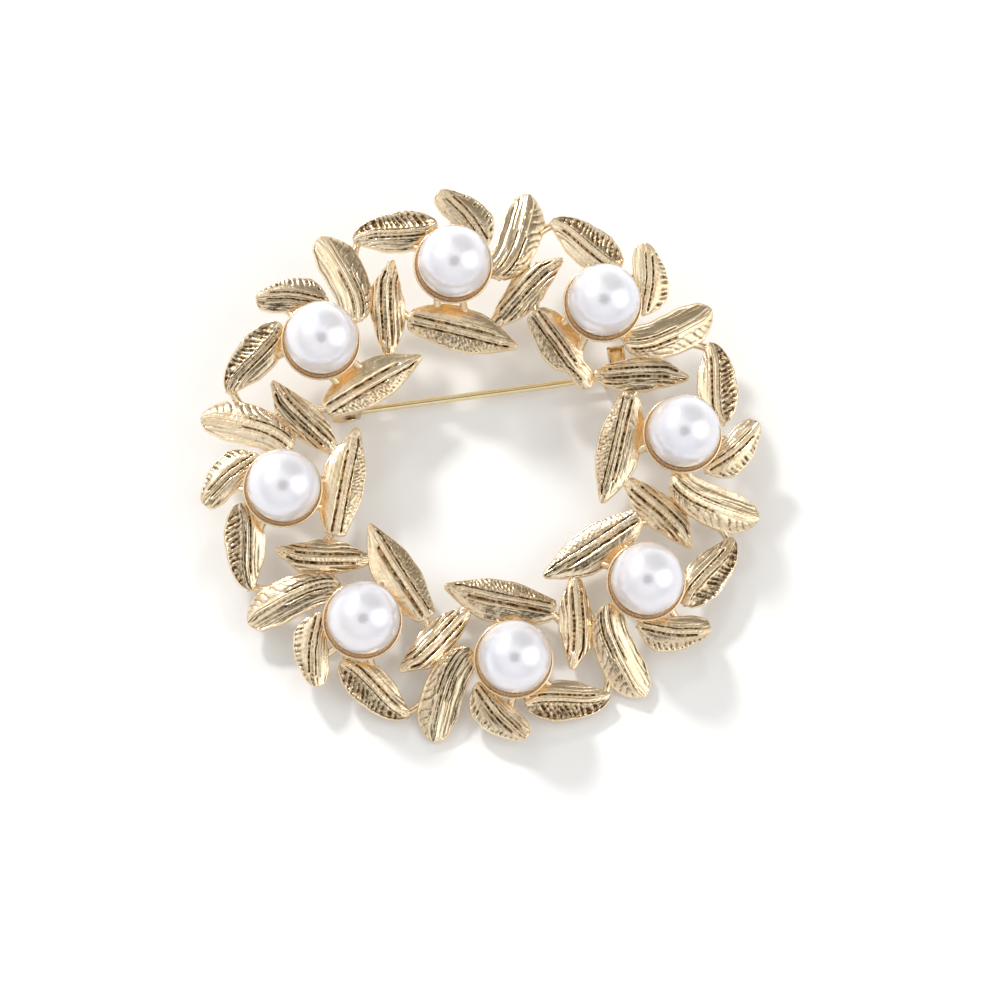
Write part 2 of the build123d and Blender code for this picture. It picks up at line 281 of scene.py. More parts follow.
class NodeMaker:
    """Adds nodes to a tree and sets or links their inputs by name."""

    def __init__(self, tree: bpy.types.NodeTree) -> None:
        """Keep the tree that the nodes go into."""
        self.tree = tree

    def feed(self, node: bpy.types.Node, inputs: dict) -> bpy.types.Node:
        """Set or link some inputs of a node.

        Args:
            node: The node.
            inputs: Values or output sockets for its inputs, by name or number.

        Returns:
            The same node.
        """
        for name, value in inputs.items():
            if isinstance(value, bpy.types.NodeSocket):
                self.tree.links.new(value, node.inputs[name])
            else:
                node.inputs[name].default_value = value
        return node

    def add(self, kind: str, inputs: dict | None = None, **settings: object) -> bpy.types.Node:
        """Add one node.

        Args:
            kind: Type name of the node.
            inputs: Values or output sockets for its inputs, by name or number.
            **settings: Properties of the node.

        Returns:
            The new node.
        """
        node = self.tree.nodes.new(kind)
        for name, value in settings.items():
            setattr(node, name, value)
        return self.feed(node, inputs or {})

    def math(self, operation: str, first: object, second: object = 0.0) -> bpy.types.NodeSocket:
        """Add a Math node and return its result."""
        return self.add("ShaderNodeMath", {0: first, 1: second}, operation=operation).outputs[0]

    def vector(self, operation: str, first: object, second: object) -> bpy.types.NodeSocket:
        """Add a Vector Math node and return its vector."""
        return self.add("ShaderNodeVectorMath", {0: first, 1: second}, operation=operation).outputs[0]

    def scaled(self, vector: object, scale: object) -> bpy.types.NodeSocket:
        """Add a Vector Math node that scales a vector, and return that."""
        return self.add("ShaderNodeVectorMath", {0: vector, "Scale": scale}, operation="SCALE").outputs[0]

    def blend(self, factor: object, first: object, second: object) -> bpy.types.NodeSocket:
        """Add a colour Mix node and return its result."""
        return self.add("ShaderNodeMix", {0: factor, 6: first, 7: second}, data_type="RGBA").outputs[2]

    def noise(
        self, place: object, scale: object, detail: float, roughness: float = 0.5
    ) -> bpy.types.NodeSocket:
        """Add a Noise node and return its value."""
        inputs = {"Vector": place, "Scale": scale, "Detail": detail, "Roughness": roughness}
        return self.add("ShaderNodeTexNoise", inputs).outputs["Fac"]

    def spread(
        self, value: object, source: tuple, target: tuple = (0.0, 1.0), **settings: object
    ) -> bpy.types.NodeSocket:
        """Add a Map Range node.

        Args:
            value: The value to map.
            source: Its range.
            target: Range that it is taken to.
            **settings: Properties of the node.

        Returns:
            The mapped value.
        """
        names = ("Value", "From Min", "From Max", "To Min", "To Max")
        inputs = dict(zip(names, (value, *source, *target)))
        return self.add("ShaderNodeMapRange", inputs, **settings).outputs["Result"]

    def bump(self, height: object, distance: float) -> bpy.types.NodeSocket:
        """Add a Bump node of full strength and return its normal."""
        inputs = {"Height": height, "Strength": 1.0, "Distance": distance}
        return self.add("ShaderNodeBump", inputs).outputs["Normal"]


def new_material(name: str) -> tuple[bpy.types.Material, NodeMaker, bpy.types.Node]:
    """Start a material, and return it with a NodeMaker for it and its shader."""
    made = bpy.data.materials.new(name)
    made.use_nodes = True
    return made, NodeMaker(made.node_tree), made.node_tree.nodes["Principled BSDF"]


def new_group(name: str, kind: str, inputs: dict[str, object], outputs: dict[str, str]) -> tuple:
    """Start a node group with named sockets.

    Args:
        name: Name of the group.
        kind: Type name of its tree.
        inputs: For each input its default value, or its socket type where it has none.
        outputs: For each output, its socket type.

    Returns:
        A NodeMaker for the group, the sockets that it is given and its output node.
    """
    tree = bpy.data.node_groups.new(name, kind)
    kinds = {float: "NodeSocketFloat", int: "NodeSocketInt", 3: "NodeSocketVector", 4: "NodeSocketColor"}
    for title, default in inputs.items():
        bare = isinstance(default, str)
        kind_of = len(default) if isinstance(default, tuple) else type(default)
        socket_type = default if bare else kinds[kind_of]
        socket = tree.interface.new_socket(title, in_out="INPUT", socket_type=socket_type)
        if not bare:
            socket.default_value = default
    for title, socket_type in outputs.items():
        tree.interface.new_socket(title, in_out="OUTPUT", socket_type=socket_type)
    maker = NodeMaker(tree)
    return maker, maker.add("NodeGroupInput").outputs, maker.add("NodeGroupOutput")


def frozen_copy(source: bpy.types.Object, name: str) -> bpy.types.Object:
    """Turn an object and its modifiers into a plain mesh object, and remove the source.

    Args:
        source: The object with live modifiers.
        name: Name of the finished piece.

    Returns:
        The plain object.
    """
    depsgraph = bpy.context.evaluated_depsgraph_get()
    shape = source.evaluated_get(depsgraph)
    mesh = bpy.data.meshes.new_from_object(shape, preserve_all_data_layers=True, depsgraph=depsgraph)
    bpy.data.objects.remove(source)
    mesh.name = name
    return linked(name, mesh)


def softened(source: bpy.types.Object, width: float) -> bpy.types.Object:
    """Round the sharp edges of a piece, as tumbling and plating leave them.

    Args:
        source: The piece with sharp edges.
        width: Width of the rounding.

    Returns:
        The piece with rounded edges, and those still sharper than SHARP_ANGLE shaded hard.
    """
    bevel = source.modifiers.new("worn_edges", "BEVEL")
    bevel.width = width
    bevel.segments = 3
    bevel.limit_method = "ANGLE"
    bevel.angle_limit = SHARP_ANGLE
    bevel.harden_normals = True
    piece = frozen_copy(source, source.name)
    piece.data.set_sharp_from_angle(angle=SHARP_ANGLE)
    return piece


@dataclass
class WreathFrame:
    """Place of the flat wreath in the row frame."""

    matrix: Matrix
    ring_radius: float
    pearl_radius: float
    pearl_height: float

    @classmethod
    def from_pearls(cls, pearl_height: float) -> "WreathFrame":
        """Find the wreath from its packed pearls.

        Args:
            pearl_height: Height of the pearls' middles over the foot of the casting.

        Returns:
            The frame of the wreath.
        """
        boxes = [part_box(f"pearl_{number + 1}") for number in range(SPRAYS)]
        middles = [(low + high) / 2 for low, high in boxes]
        centre = sum(middles, Vector()) / SPRAYS
        upward = (middles[0] - middles[SPRAYS // 2]).normalized()
        across = (middles[SPRAYS // 4] - middles[3 * SPRAYS // 4]).normalized()
        normal = across.cross(upward).normalized()
        turn = Matrix((across, upward, normal)).transposed().to_4x4()
        foot = centre - normal * pearl_height
        low, high = boxes[0]
        return cls(
            matrix=Matrix.Translation(foot) @ turn,
            ring_radius=(middles[0] - centre).length,
            pearl_radius=(high - low).x / 2,
            pearl_height=pearl_height,
        )

    def settle(self, piece: bpy.types.Object) -> bpy.types.Object:
        """Lay a finished flat piece into the row frame."""
        piece.data.transform(self.matrix)
        return piece


def spray_turn(number: float) -> Matrix:
    """Return the turn that takes the first spray to another, counted clockwise."""
    return Matrix.Rotation(-number * SPRAY_STEP, 4, "Z")


# Shader groups that several finishes share


@cache
def gilt_patina_and_painted_light_group() -> bpy.types.NodeTree:
    """Return the group that colours gilt metal by slow clouds, and mixes in a mask of painted shade and
    patina in its hollows, or of painted reflection in the cups.
    """
    make, given, result = new_group(
        "gilt_patina_and_painted_light",
        "ShaderNodeTree",
        {
            "Patina And Painted Light": 0.0,
            "Darkening": 1.0,
            "Cloud Scale": 500.0,
            "Pale": (1.0, 1.0, 1.0, 1.0),
            "Warm": (1.0, 1.0, 1.0, 1.0),
            "Dark": (0.0, 0.0, 0.0, 1.0),
        },
        {"Color": "NodeSocketColor", "Patina And Painted Light Share": "NodeSocketFloat"},
    )
    place = make.add("ShaderNodeTexCoord").outputs["Object"]
    clouds = make.noise(place, given["Cloud Scale"], 3.0, 0.6)
    metal = make.blend(make.spread(clouds, (0.35, 0.65)), given["Pale"], given["Warm"])
    speck_scale = 4200.0
    uneven = make.spread(make.noise(place, speck_scale, 2.0), (0.3, 0.7), (0.3, 1.45))
    # Painted shade with patina and tarnish in the grooves and cuts, and the cups' painted orange reflection
    # of gold, mix the metal towards the dark colour.
    depth = make.math("MULTIPLY", given["Patina And Painted Light"], given["Darkening"])
    dark_share = make.add("ShaderNodeClamp", {"Value": make.math("MULTIPLY", depth, uneven)}).outputs["Result"]
    make.feed(result, {"Color": make.blend(dark_share, metal, given["Dark"]), "Patina And Painted Light Share": dark_share})
    return make.tree


@cache
def cast_grain_group() -> bpy.types.NodeTree:
    """Return the group that gives the fine height of a cast skin and of strokes along a leaf."""
    make, given, result = new_group(
        "cast_grain",
        "ShaderNodeTree",
        {"Flow": (0.0, 0.0, 0.0), "Grain Scale": 3000.0, "Stroke Scale": 5000.0, "Strokes": 0.5},
        {"Height": "NodeSocketFloat"},
    )
    place = make.add("ShaderNodeTexCoord").outputs["Object"]
    grain = make.noise(place, given["Grain Scale"], 4.0, 0.6)
    long_way = make.vector("MULTIPLY", given["Flow"], (0.12, 1.0, 1.0))
    strokes = make.math("MULTIPLY", make.noise(long_way, given["Stroke Scale"], 2.0), given["Strokes"])
    make.feed(result, {"Height": make.math("ADD", grain, strokes)})
    return make.tree


# Finishes


@dataclass(frozen=True)
class GiltFinish:
    """Pale gold plating over a base metal casting or stamping."""

    name: str
    pale: tuple[float, float, float] = (0.94, 0.79, 0.57)
    warm: tuple[float, float, float] = (0.88, 0.69, 0.45)
    # Colour and strength of the painted shade, patina and tarnish in the hollows; on the cups the colour is a
    # painted orange reflection of gold.
    dark: tuple[float, float, float] = (0.10, 0.05, 0.013)
    darkening: float = 1.1
    roughness: float = 0.16
    dirt_roughness: float = 0.5
    grain_scale: float = 3600.0
    grain_height: float = 0.022 * MM
    strokes: float = 1.7

    def material(self) -> bpy.types.Material:
        """Build the finish as a material.

        Returns:
            The material, with painted shade, patina and tarnish in the hollows, and in the cups a painted
            reflection of gold, read from the piece's own mask attribute.
        """
        made, make, shader = new_material(self.name)
        # Mix the painted shade, patina and painted reflection of the piece's mask into the metal.
        painted_light_and_patina = make.add(
            "ShaderNodeGroup",
            {
                "Patina And Painted Light": make.add("ShaderNodeAttribute", attribute_name="patina_and_painted_light").outputs["Fac"],
                "Darkening": self.darkening,
                "Pale": (*self.pale, 1.0),
                "Warm": (*self.warm, 1.0),
                "Dark": (*self.dark, 1.0),
            },
            node_tree=gilt_patina_and_painted_light_group(),
        )
        flow = make.add("ShaderNodeAttribute", attribute_name="flow").outputs["Vector"]
        grain = make.add(
            "ShaderNodeGroup",
            {"Flow": flow, "Grain Scale": self.grain_scale, "Strokes": self.strokes},
            node_tree=cast_grain_group(),
        )
        rough = make.spread(painted_light_and_patina.outputs["Patina And Painted Light Share"], (0.0, 1.0), (self.roughness, self.dirt_roughness))
        normal = make.bump(grain.outputs["Height"], self.grain_height)
        surface = {"Metallic": 1.0, "Base Color": painted_light_and_patina.outputs["Color"], "Roughness": rough, "Normal": normal}
        make.feed(shader, surface)
        return made


@dataclass(frozen=True)
class PearlFinish:
    """White pearl lustre with a faint lavender body and a cream blush."""

    name: str = "pearl_lustre"
    body: tuple[float, float, float] = (0.76, 0.775, 0.88)
    blush: tuple[float, float, float] = (0.80, 0.77, 0.825)
    sheen: float = 0.38
    roughness: float = 0.18
    coat: float = 0.5
    coat_roughness: float = 0.16
    refraction: float = 1.6
    glow: float = 1.0
    glow_tint: tuple[float, float, float] = (1.0, 0.95, 0.9)
    glow_reach: float = 8.0 * MM
    cloud_scale: float = 330.0
    skin_scale: float = 1500.0
    skin_height: float = 0.002 * MM

    def material(self) -> bpy.types.Material:
        """Build the finish as a material with slow colour clouds and a satin coat."""
        made, make, shader = new_material(self.name)
        place = make.add("ShaderNodeTexCoord").outputs["Object"]
        clouds = make.spread(make.noise(place, self.cloud_scale, 2.0), (0.35, 0.65))
        surface = {
            "Base Color": make.blend(clouds, (*self.body, 1.0), (*self.blush, 1.0)),
            "Roughness": self.roughness,
            "Metallic": self.sheen,
            "IOR": self.refraction,
            "Subsurface Weight": self.glow,
            "Subsurface Radius": self.glow_tint,
            "Subsurface Scale": self.glow_reach,
            "Coat Weight": self.coat,
            "Coat Roughness": self.coat_roughness,
            "Coat IOR": self.refraction,
            "Normal": make.bump(make.noise(place, self.skin_scale, 3.0), self.skin_height),
        }
        make.feed(shader, surface)
        return made


# The ring that repeats one spray's piece


@cache
def ring_tree() -> bpy.types.NodeTree:
    """Return the Geometry Nodes tree that repeats a piece round the wreath.

    The piece is drawn about its own pivot. Each copy is turned and shifted a little, as wax
    pieces are when a casting is put together, and the whole ring has a slow swell.
    """
    make, given, result = new_group(
        "wreath_ring",
        "GeometryNodeTree",
        {
            "Geometry": "NodeSocketGeometry",
            "First": 0,
            "Count": SPRAYS,
            "Step": SPRAY_STEP,
            "Pivot": (0.0, 0.0, 0.0),
            "Turn": 0.0,
            "Shift": 0.0,
            "Swell": 0.0,
            "Swell Scale": 120.0,
            "Seed": 0,
            "Material": "NodeSocketMaterial",
        },
        {"Geometry": "NodeSocketGeometry"},
    )
    number = make.math("ADD", make.add("GeometryNodeInputIndex").outputs[0], given["First"])
    angle = make.math("MULTIPLY", make.math("MULTIPLY", number, -1.0), given["Step"])
    place = make.add(
        "ShaderNodeVectorRotate", {"Vector": given["Pivot"], "Angle": angle}, rotation_type="Z_AXIS"
    )

    def scatter(seed_step: int, amount: bpy.types.NodeSocket) -> bpy.types.NodeSocket:
        """Return a random vector for each copy, of up to an amount each way."""
        seed = make.math("ADD", given["Seed"], seed_step)
        draw = {0: (-1.0, -1.0, -1.0), 1: (1.0, 1.0, 1.0), "ID": number, "Seed": seed}
        random = make.add("FunctionNodeRandomValue", draw, data_type="FLOAT_VECTOR").outputs[0]
        return make.scaled(random, amount)

    shifted = make.vector("ADD", place.outputs[0], scatter(1, given["Shift"]))
    points = make.add("GeometryNodePoints", {"Count": given["Count"], "Position": shifted}).outputs[0]
    upright = make.add("ShaderNodeCombineXYZ", {"Z": angle}).outputs[0]
    turned = make.vector("ADD", upright, scatter(2, given["Turn"]))
    laid = {"Points": points, "Instance": given["Geometry"], "Rotation": turned}
    copies = make.add("GeometryNodeInstanceOnPoints", laid).outputs[0]
    real = make.add("GeometryNodeRealizeInstances", {"Geometry": copies}).outputs[0]
    here = make.add("GeometryNodeInputPosition").outputs[0]
    slow = {"Vector": here, "Scale": given["Swell Scale"], "W": given["Seed"], "Detail": 1.0}
    waves = make.add("ShaderNodeTexNoise", slow, noise_dimensions="4D").outputs["Color"]
    swell = make.scaled(make.vector("SUBTRACT", waves, (0.5, 0.5, 0.5)), given["Swell"])
    swelled = make.add("GeometryNodeSetPosition", {"Geometry": real, "Offset": swell}).outputs[0]
    dress = {"Geometry": swelled, "Material": given["Material"]}
    make.feed(result, {"Geometry": make.add("GeometryNodeSetMaterial", dress).outputs[0]})
    return make.tree


@dataclass(frozen=True)
class RingPlan:
    """How one piece is repeated round the wreath, by the names of the ring tree's inputs."""

    first: int = 0
    count: int = SPRAYS
    turn: float = 0.0
    shift: float = 0.0
    swell: float = 0.16 * MM
    swell_scale: float = 110.0
    seed: int = 3

    def repeat(
        self, source: Shell, pivot: Vector, name: str, material: bpy.types.Material
    ) -> bpy.types.Object:
        """Repeat a shell round the wreath through the ring tree.

        Args:
            source: The shell in the first spray.
            pivot: Point that each copy turns about.
            name: Name of the finished piece.
            material: Material of the ring.

        Returns:
            The ring as one plain mesh, flat.
        """
        base = source.moved(Matrix.Translation(-pivot)).to_object(f"{name}_source")
        modifier = base.modifiers.new("ring", "NODES")
        modifier.node_group = ring_tree()
        values = {title.replace("_", " ").title(): value for title, value in asdict(self).items()}
        values |= {"Step": SPRAY_STEP, "Pivot": pivot, "Material": material}
        for item in modifier.node_group.interface.items_tree:
            if item.item_type == "SOCKET" and item.in_out == "INPUT" and item.name in values:
                modifier[item.identifier] = values[item.name]
        return frozen_copy(base, name)


# Leaves

RIB_COLUMNS = (0, 0.2, 0.38, 0.5, 0.62, 0.76, 0.88, 1.0, 1.12, 1.26)
WALL_PLACES = (0.18, 0.5, 0.85)
WALL_BULGES = (0.85, 1.0, 0.5)


class Relief(Enum):
    """How a lobe's face is worked."""

    STROKED = "faint slanting strokes"
    LENGTHWISE = "lines along the leaf"
    VEINED = "deep veins across the lobe"
    HAMMERED = "small uneven facets"


@dataclass(frozen=True)
class Lobe:
    """One side of a leaf, from the groove beside its rib to its edge.

    It drops from the groove to the edge, may be dished, and has a raised rim. Its face is worked
    over a share of the length, and tarnish dulls all of it.
    """

    relief: Relief
    depth: float
    pitch: float
    slant: float = 62.0
    drop: float = 0.34 * MM
    dish: float = 0.0
    rim: float = 0.05 * MM
    tarnish: float = 0.0
    worked: tuple[float, float] = (0.0, 1.0)
    work_from: float = 0.02
    full_half: float = 0.9 * MM
    rim_inset: float = 0.06 * MM
    rim_half: float = 0.07 * MM
    rim_widths: tuple[float, float] = (0.2 * MM, 0.6 * MM)
    fall: float = 2.1

    def face(self, inside: np.ndarray, reach: np.ndarray, half: np.ndarray) -> np.ndarray:
        """Return the height of the plain lobe: a crown or a dish with a raised rim.

        Args:
            inside: Share of the way from the groove to the edge.
            reach: Distance from the rib.
            half: Half width of the lobe at that row.

        Returns:
            Height over the rib line.
        """
        fullness = np.minimum(1.0, half / self.full_half)
        edge = np.exp(-(((half - reach - self.rim_inset) / self.rim_half) ** 2))
        edge = edge * smoothstep(*self.rim_widths, half)
        crown = -self.drop * inside**self.fall - self.dish * np.sin(pi * inside)
        return fullness * crown + self.rim * edge

    def work(self, along: np.ndarray, reach: np.ndarray, seed: int) -> np.ndarray:
        """Return how deep the lobe's face is cut, from 0 to about 1.

        Args:
            along: Distance along the leaf.
            reach: Distance from the rib.
            seed: Chooses the unevenness.

        Returns:
            Share of the relief's depth.
        """
        slant = radians(self.slant)
        drift = 0.3 * self.pitch * ripples(along, reach, 2.4 * MM, seed)
        across = (along * sin(slant) - reach * cos(slant) + drift) / self.pitch
        if self.relief is Relief.LENGTHWISE:
            lines = furrows(tau * (reach + 0.3 * drift) / self.pitch, 2.6)
            return lines * np.clip(0.6 + 0.7 * ripples(0.5 * along, 3 * reach, 2.0 * MM, seed + 1), 0, 1.2)
        if self.relief is Relief.HAMMERED:
            facets = np.abs(ripples(along, reach, self.pitch, seed + 2))
            return np.clip(0.85 * facets + 0.25 * np.sin(tau * across), 0, 1)
        if self.relief is Relief.STROKED:
            return furrows(tau * across, 5)
        veins = furrows(tau * across, 1.4)
        return veins * np.clip(0.8 + 0.5 * ripples(along, reach, 1.2 * MM, seed + 3), 0.1, 1.3)


@dataclass(frozen=True)
class Groove:
    """The deep line between the rib and one lobe, with a fainter echo beside it if that isn't 0."""

    reach: float
    half_width: float
    depth: float = 0.20 * MM
    start: float = 0.03
    end: float = 0.80
    echo: float = 0.0
    echo_depth: float = 0.45
    echo_width: float = 0.6
    room: float = 0.42
    run_out: float = 0.04

    def line(self, half: np.ndarray) -> np.ndarray:
        """Return the groove's distance from the rib where its lobe has a half width."""
        return np.minimum(self.reach, self.room * half)

    def cut(self, run: np.ndarray, beside: np.ndarray) -> np.ndarray:
        """Return the groove's share of its depth at a share of the length and beside its line."""
        span = smoothstep(self.start, self.start + self.run_out, run)
        span = span * (1 - smoothstep(self.end, self.end + self.run_out, run))
        lines = np.exp(-((beside / self.half_width) ** 4))
        if self.echo:
            echo = np.exp(-(((beside - self.echo) / (self.echo_width * self.half_width)) ** 2))
            lines = lines + self.echo_depth * echo
        return lines * span


@dataclass
class CastLeaf:
    """One leaf of the spray: its outline, its rib and the relief on its two lobes.

    The table has a row for each section: its place along the leaf, the rib and the left and
    right edges as shares of the width, and its thickness as a share of the leaf's.
    """

    name: str
    root: Vector
    heading: float
    length: float
    width: float
    root_height: float
    tip_height: float
    table: tuple[tuple[float, ...], ...]
    left: Lobe
    right: Lobe
    left_groove: Groove
    right_groove: Groove
    thickness: float = 0.95 * MM
    arch: float = 0.08 * MM
    rib_rise: float = 0.06 * MM
    rib_chisel: float = 0.003 * MM
    fine_line: float = 0.03 * MM
    fine_half: float = 0.04 * MM
    skin: float = 0.006 * MM
    wander: float = 0.01 * MM
    # Depth of relief cut at which its painted shade is at full strength.
    dark_depth: float = 0.07 * MM
    seed: int = 1
    row_pitch: float = 0.07 * MM
    lobe_columns: int = 14
    back_columns: int = 10
    wall_bulge: float = 0.03 * MM
    cap: float = 0.22 * MM
    waver: float = 0.015
    bend: float = 0.0
    bend_from: float = 0.6
    end_thickness: float = 0.55
    back_hollow: float = 0.16
    column_spread: float = 0.92
    work_ramp: float = 0.06
    inner_depth: float = 0.74

    def rows(self) -> np.ndarray:
        """Return the places of the mesh rows along the leaf, closer together at both ends."""
        cap = self.cap / self.length
        turns = np.linspace(0, pi / 2, 7)[1:]
        start = np.concatenate([[0.004 * cap], cap * (1 - np.cos(turns))])
        count = int((1 - 2 * cap) * self.length / self.row_pitch)
        return np.concatenate([start, np.linspace(cap, 1 - cap, count)[1:-1], 1 - start[::-1]])

    def section(self, rows: np.ndarray) -> tuple[np.ndarray, ...]:
        """Read the outline at each row.

        Args:
            rows: Places along the leaf.

        Returns:
            Rib, left and right half widths and thickness at each row.
        """
        table = np.array(self.table)
        rib, left, right, thick = (smooth_through(rows, table[:, 0], column) for column in table.T[1:])
        near_end = np.clip(np.minimum(rows, 1 - rows) / (self.cap / self.length), 0, 1)
        blunt = np.sqrt(np.clip(1 - (1 - near_end) ** 2, 1e-4, 1))
        far, level = rows * self.length, rows * 0
        uneven_left = self.waver * ripples(far, level, 1.8 * MM, self.seed + 20)
        uneven_right = self.waver * ripples(far, level, 1.4 * MM, self.seed + 21)
        left_half = (left - rib) * self.width * blunt * (1 + uneven_left)
        right_half = (rib - right) * self.width * blunt * (1 + uneven_right)
        thick = thick * self.thickness * (self.end_thickness + (1 - self.end_thickness) * blunt)
        return rib * self.width, left_half, right_half, thick

    def top(self, along: np.ndarray, offset: np.ndarray, left: np.ndarray, right: np.ndarray) -> tuple:
        """Shape the front of the leaf.

        Args:
            along: Distance along the leaf.
            offset: Distance from the rib, to the left positive.
            left: Half width of the left lobe at that row.
            right: Half width of the right lobe at that row.

        Returns:
            Height over the rib line, and a mask of painted shade and patina in the grooves and cuts, with
            tarnish on the lobes.
        """
        reach = np.abs(offset)
        run = along / self.length
        height = self.skin * ripples(along, offset, 1.6 * MM, self.seed + 9)
        patina_and_painted_light = np.zeros_like(offset)
        wander = self.wander * ripples(along, along * 0, 1.1 * MM, self.seed + 7)
        chisel = ripples(1.4 * along, offset, 0.45 * MM, self.seed + 8)
        patchy = ripples(2.2 * along, 0.6 * offset, 0.8 * MM, self.seed + 12)
        sides = (
            (self.left, self.left_groove, left, offset >= 0),
            (self.right, self.right_groove, right, offset < 0),
        )
        ramp = self.work_ramp
        for lobe, groove, half, side in sides:
            line = groove.line(half)
            beside = reach - line
            cut = groove.cut(run, beside - wander)
            inside = np.clip(beside / np.maximum(half - line, 1e-6), 0, 1)
            rib = 1 - smoothstep(0.7, 1.05, reach / line)
            fine = np.exp(-(((reach - 0.5 * line) / self.fine_half) ** 2))
            fine = fine * smoothstep(0.25 * MM, 0.3 * MM, line + 0 * reach)
            fine = fine * smoothstep(0.02, 0.08, run) * (1 - smoothstep(0.85, 0.95, run))
            worked = lobe.work(along, reach, self.seed + 3)
            worked = worked * smoothstep(lobe.work_from, lobe.work_from + 0.2, inside)
            worked = worked * (1 - smoothstep(0.84, 0.97, inside)) * smoothstep(0.25 * MM, 0.6 * MM, half)
            low, high = lobe.worked
            worked = worked * smoothstep(low - ramp, low + ramp, run)
            worked = worked * (1 - smoothstep(high - ramp, high + ramp, run))
            plain = lobe.face(inside, reach, half) + rib * (self.rib_rise + self.rib_chisel * chisel)
            here = plain - groove.depth * cut - self.fine_line * fine - lobe.depth * worked
            # Painted shade with patina in the groove and along the fine line, patchy along them.
            painted_shade_and_tarnish = cut * np.clip(0.8 + 0.45 * patchy, 0.25, 1.1) + 0.35 * fine * np.clip(0.6 + chisel, 0, 1)
            # Painted shade with patina in the worked relief, darker where the cuts are deeper.
            painted_shade_and_tarnish = painted_shade_and_tarnish + worked * min(1.0, lobe.depth / self.dark_depth) * 0.75
            # Tarnish dulls the middle of the lobe.
            dull = lobe.tarnish * smoothstep(0.05, 0.25, inside) * (1 - smoothstep(0.7, 0.9, inside))
            painted_shade_and_tarnish = painted_shade_and_tarnish + dull
            height = height + np.where(side, here, 0)
            patina_and_painted_light = patina_and_painted_light + np.where(side, painted_shade_and_tarnish, 0)
        return height, np.clip(patina_and_painted_light, 0, 1)

    def shell(self) -> Shell:
        """Build the leaf as one closed shell.

        Returns:
            The shell in the first spray, with its mask of painted shade, patina and tarnish, and its flow
            values.
        """
        rows = self.rows()
        rib, left, right, thick = (value[:, None] for value in self.section(rows))
        along = rows[:, None] * self.length
        rib_steps = np.array(RIB_COLUMNS)[None, :]
        lobe_steps = np.linspace(0, 1, self.lobe_columns + 1)[None, 1:]

        def half_columns(half: np.ndarray, groove: Groove) -> np.ndarray:
            """Return the distances from the rib of one side's columns."""
            line = groove.line(half)
            first = rib_steps[0, -1] * line
            outward = first + (half - first) * lobe_steps**self.column_spread
            return np.concatenate([rib_steps * line, outward], axis=1)

        left_columns = half_columns(left, self.left_groove)
        right_columns = half_columns(right, self.right_groove)
        offset = np.concatenate([left_columns[:, ::-1], -right_columns[:, 1:]], axis=1)
        height, patina_and_painted_light = self.top(along + 0 * offset, offset, left + 0 * offset, right + 0 * offset)
        rise = self.root_height + (self.tip_height - self.root_height) * rows[:, None]
        rise = rise + self.arch * np.sin(pi * rows[:, None])
        top_z = rise + height
        back_steps = np.linspace(-1, 1, self.back_columns)[None, :]
        back_offset = (left - right) / 2 + (left + right) / 2 * back_steps
        back_z = rise - thick * (1 - self.back_hollow * (1 - back_steps**2))

        def wall(offset_edge: np.ndarray, top_edge: np.ndarray, low_edge: np.ndarray, way: int) -> tuple:
            """Return the three bulging columns of one edge, from the front to the back."""
            places, out = np.array(WALL_PLACES)[None, :], np.array(WALL_BULGES)[None, :]
            bulge = np.minimum(self.wall_bulge, 0.2 * (left + right))
            return offset_edge + way * bulge * out, top_edge + (low_edge - top_edge) * places

        right_wall, right_z = wall(offset[:, -1:], top_z[:, -1:], back_z[:, :1], -1)
        left_wall, left_z = wall(offset[:, :1], top_z[:, :1], back_z[:, -1:], 1)
        offsets = np.concatenate([offset, right_wall, back_offset, left_wall[:, ::-1]], axis=1)
        heights = np.concatenate([top_z, right_z, back_z, left_z[:, ::-1]], axis=1)
        patina_and_painted_light_grid = np.pad(patina_and_painted_light, ((0, 0), (0, offsets.shape[1] - offset.shape[1])))
        across = rib + offsets
        flow = np.stack([along + 0 * offsets, offsets, np.full_like(offsets, self.seed * 10 * MM)], axis=-1)
        points = np.stack([along + 0 * across, across, heights], axis=-1)
        if self.bend:
            points = self.bent(points)
        values = {"patina_and_painted_light": patina_and_painted_light_grid.ravel(), "flow": flow.reshape(-1, 3)}
        flat = Shell(points.reshape(-1, 3), capped_faces(*offsets.shape), values)
        turn = Matrix.Rotation(radians(self.heading), 4, "Z")
        return flat.moved(Matrix.Translation((self.root.x, self.root.y, 0)) @ turn)

    def bent(self, points: np.ndarray) -> np.ndarray:
        """Bend the end of the leaf downwards about a line across it."""
        start = self.bend_from * self.length
        beyond = np.clip(points[..., 0] - start, 0, None)
        room = self.length - start
        angle = radians(self.bend) * smoothstep(0, 0.6 * room, beyond)
        pivot_z = self.root_height + (self.tip_height - self.root_height) * self.bend_from
        lift = points[..., 2] - pivot_z
        moved = points.copy()
        moved[..., 0] = points[..., 0] - beyond * (1 - np.cos(angle)) + lift * np.sin(angle)
        moved[..., 2] = pivot_z + lift * np.cos(angle) - beyond * np.sin(angle)
        return moved

    def inner_point(self, along: float, side: float) -> np.ndarray:
        """Return a point low in the leaf's metal.

        Args:
            along: Share of the length.
            side: 1 at the left edge, -1 at the right, 0 on the rib.

        Returns:
            The point in the first spray.
        """
        table = np.array(self.table)
        rib, left, right = (float(np.interp(along, table[:, 0], column)) for column in table.T[1:4])
        edge = left if side > 0 else right
        across = (rib + (edge - rib) * abs(side)) * self.width
        far = along * self.length
        turn = radians(self.heading)
        x = self.root.x + far * cos(turn) - across * sin(turn)
        y = self.root.y + far * sin(turn) + across * cos(turn)
        height = self.root_height + (self.tip_height - self.root_height) * along
        return np.array([x, y, height - self.inner_depth * self.thickness])


@dataclass(frozen=True)
class Link:
    """One sprue link, from a leaf to another leaf or to the cup."""

    start: str
    start_at: tuple[float, float]
    end: str
    end_at: tuple[float, float] = (0.0, 0.0)
    bearing: float = 0.0
    end_turn: int = 0


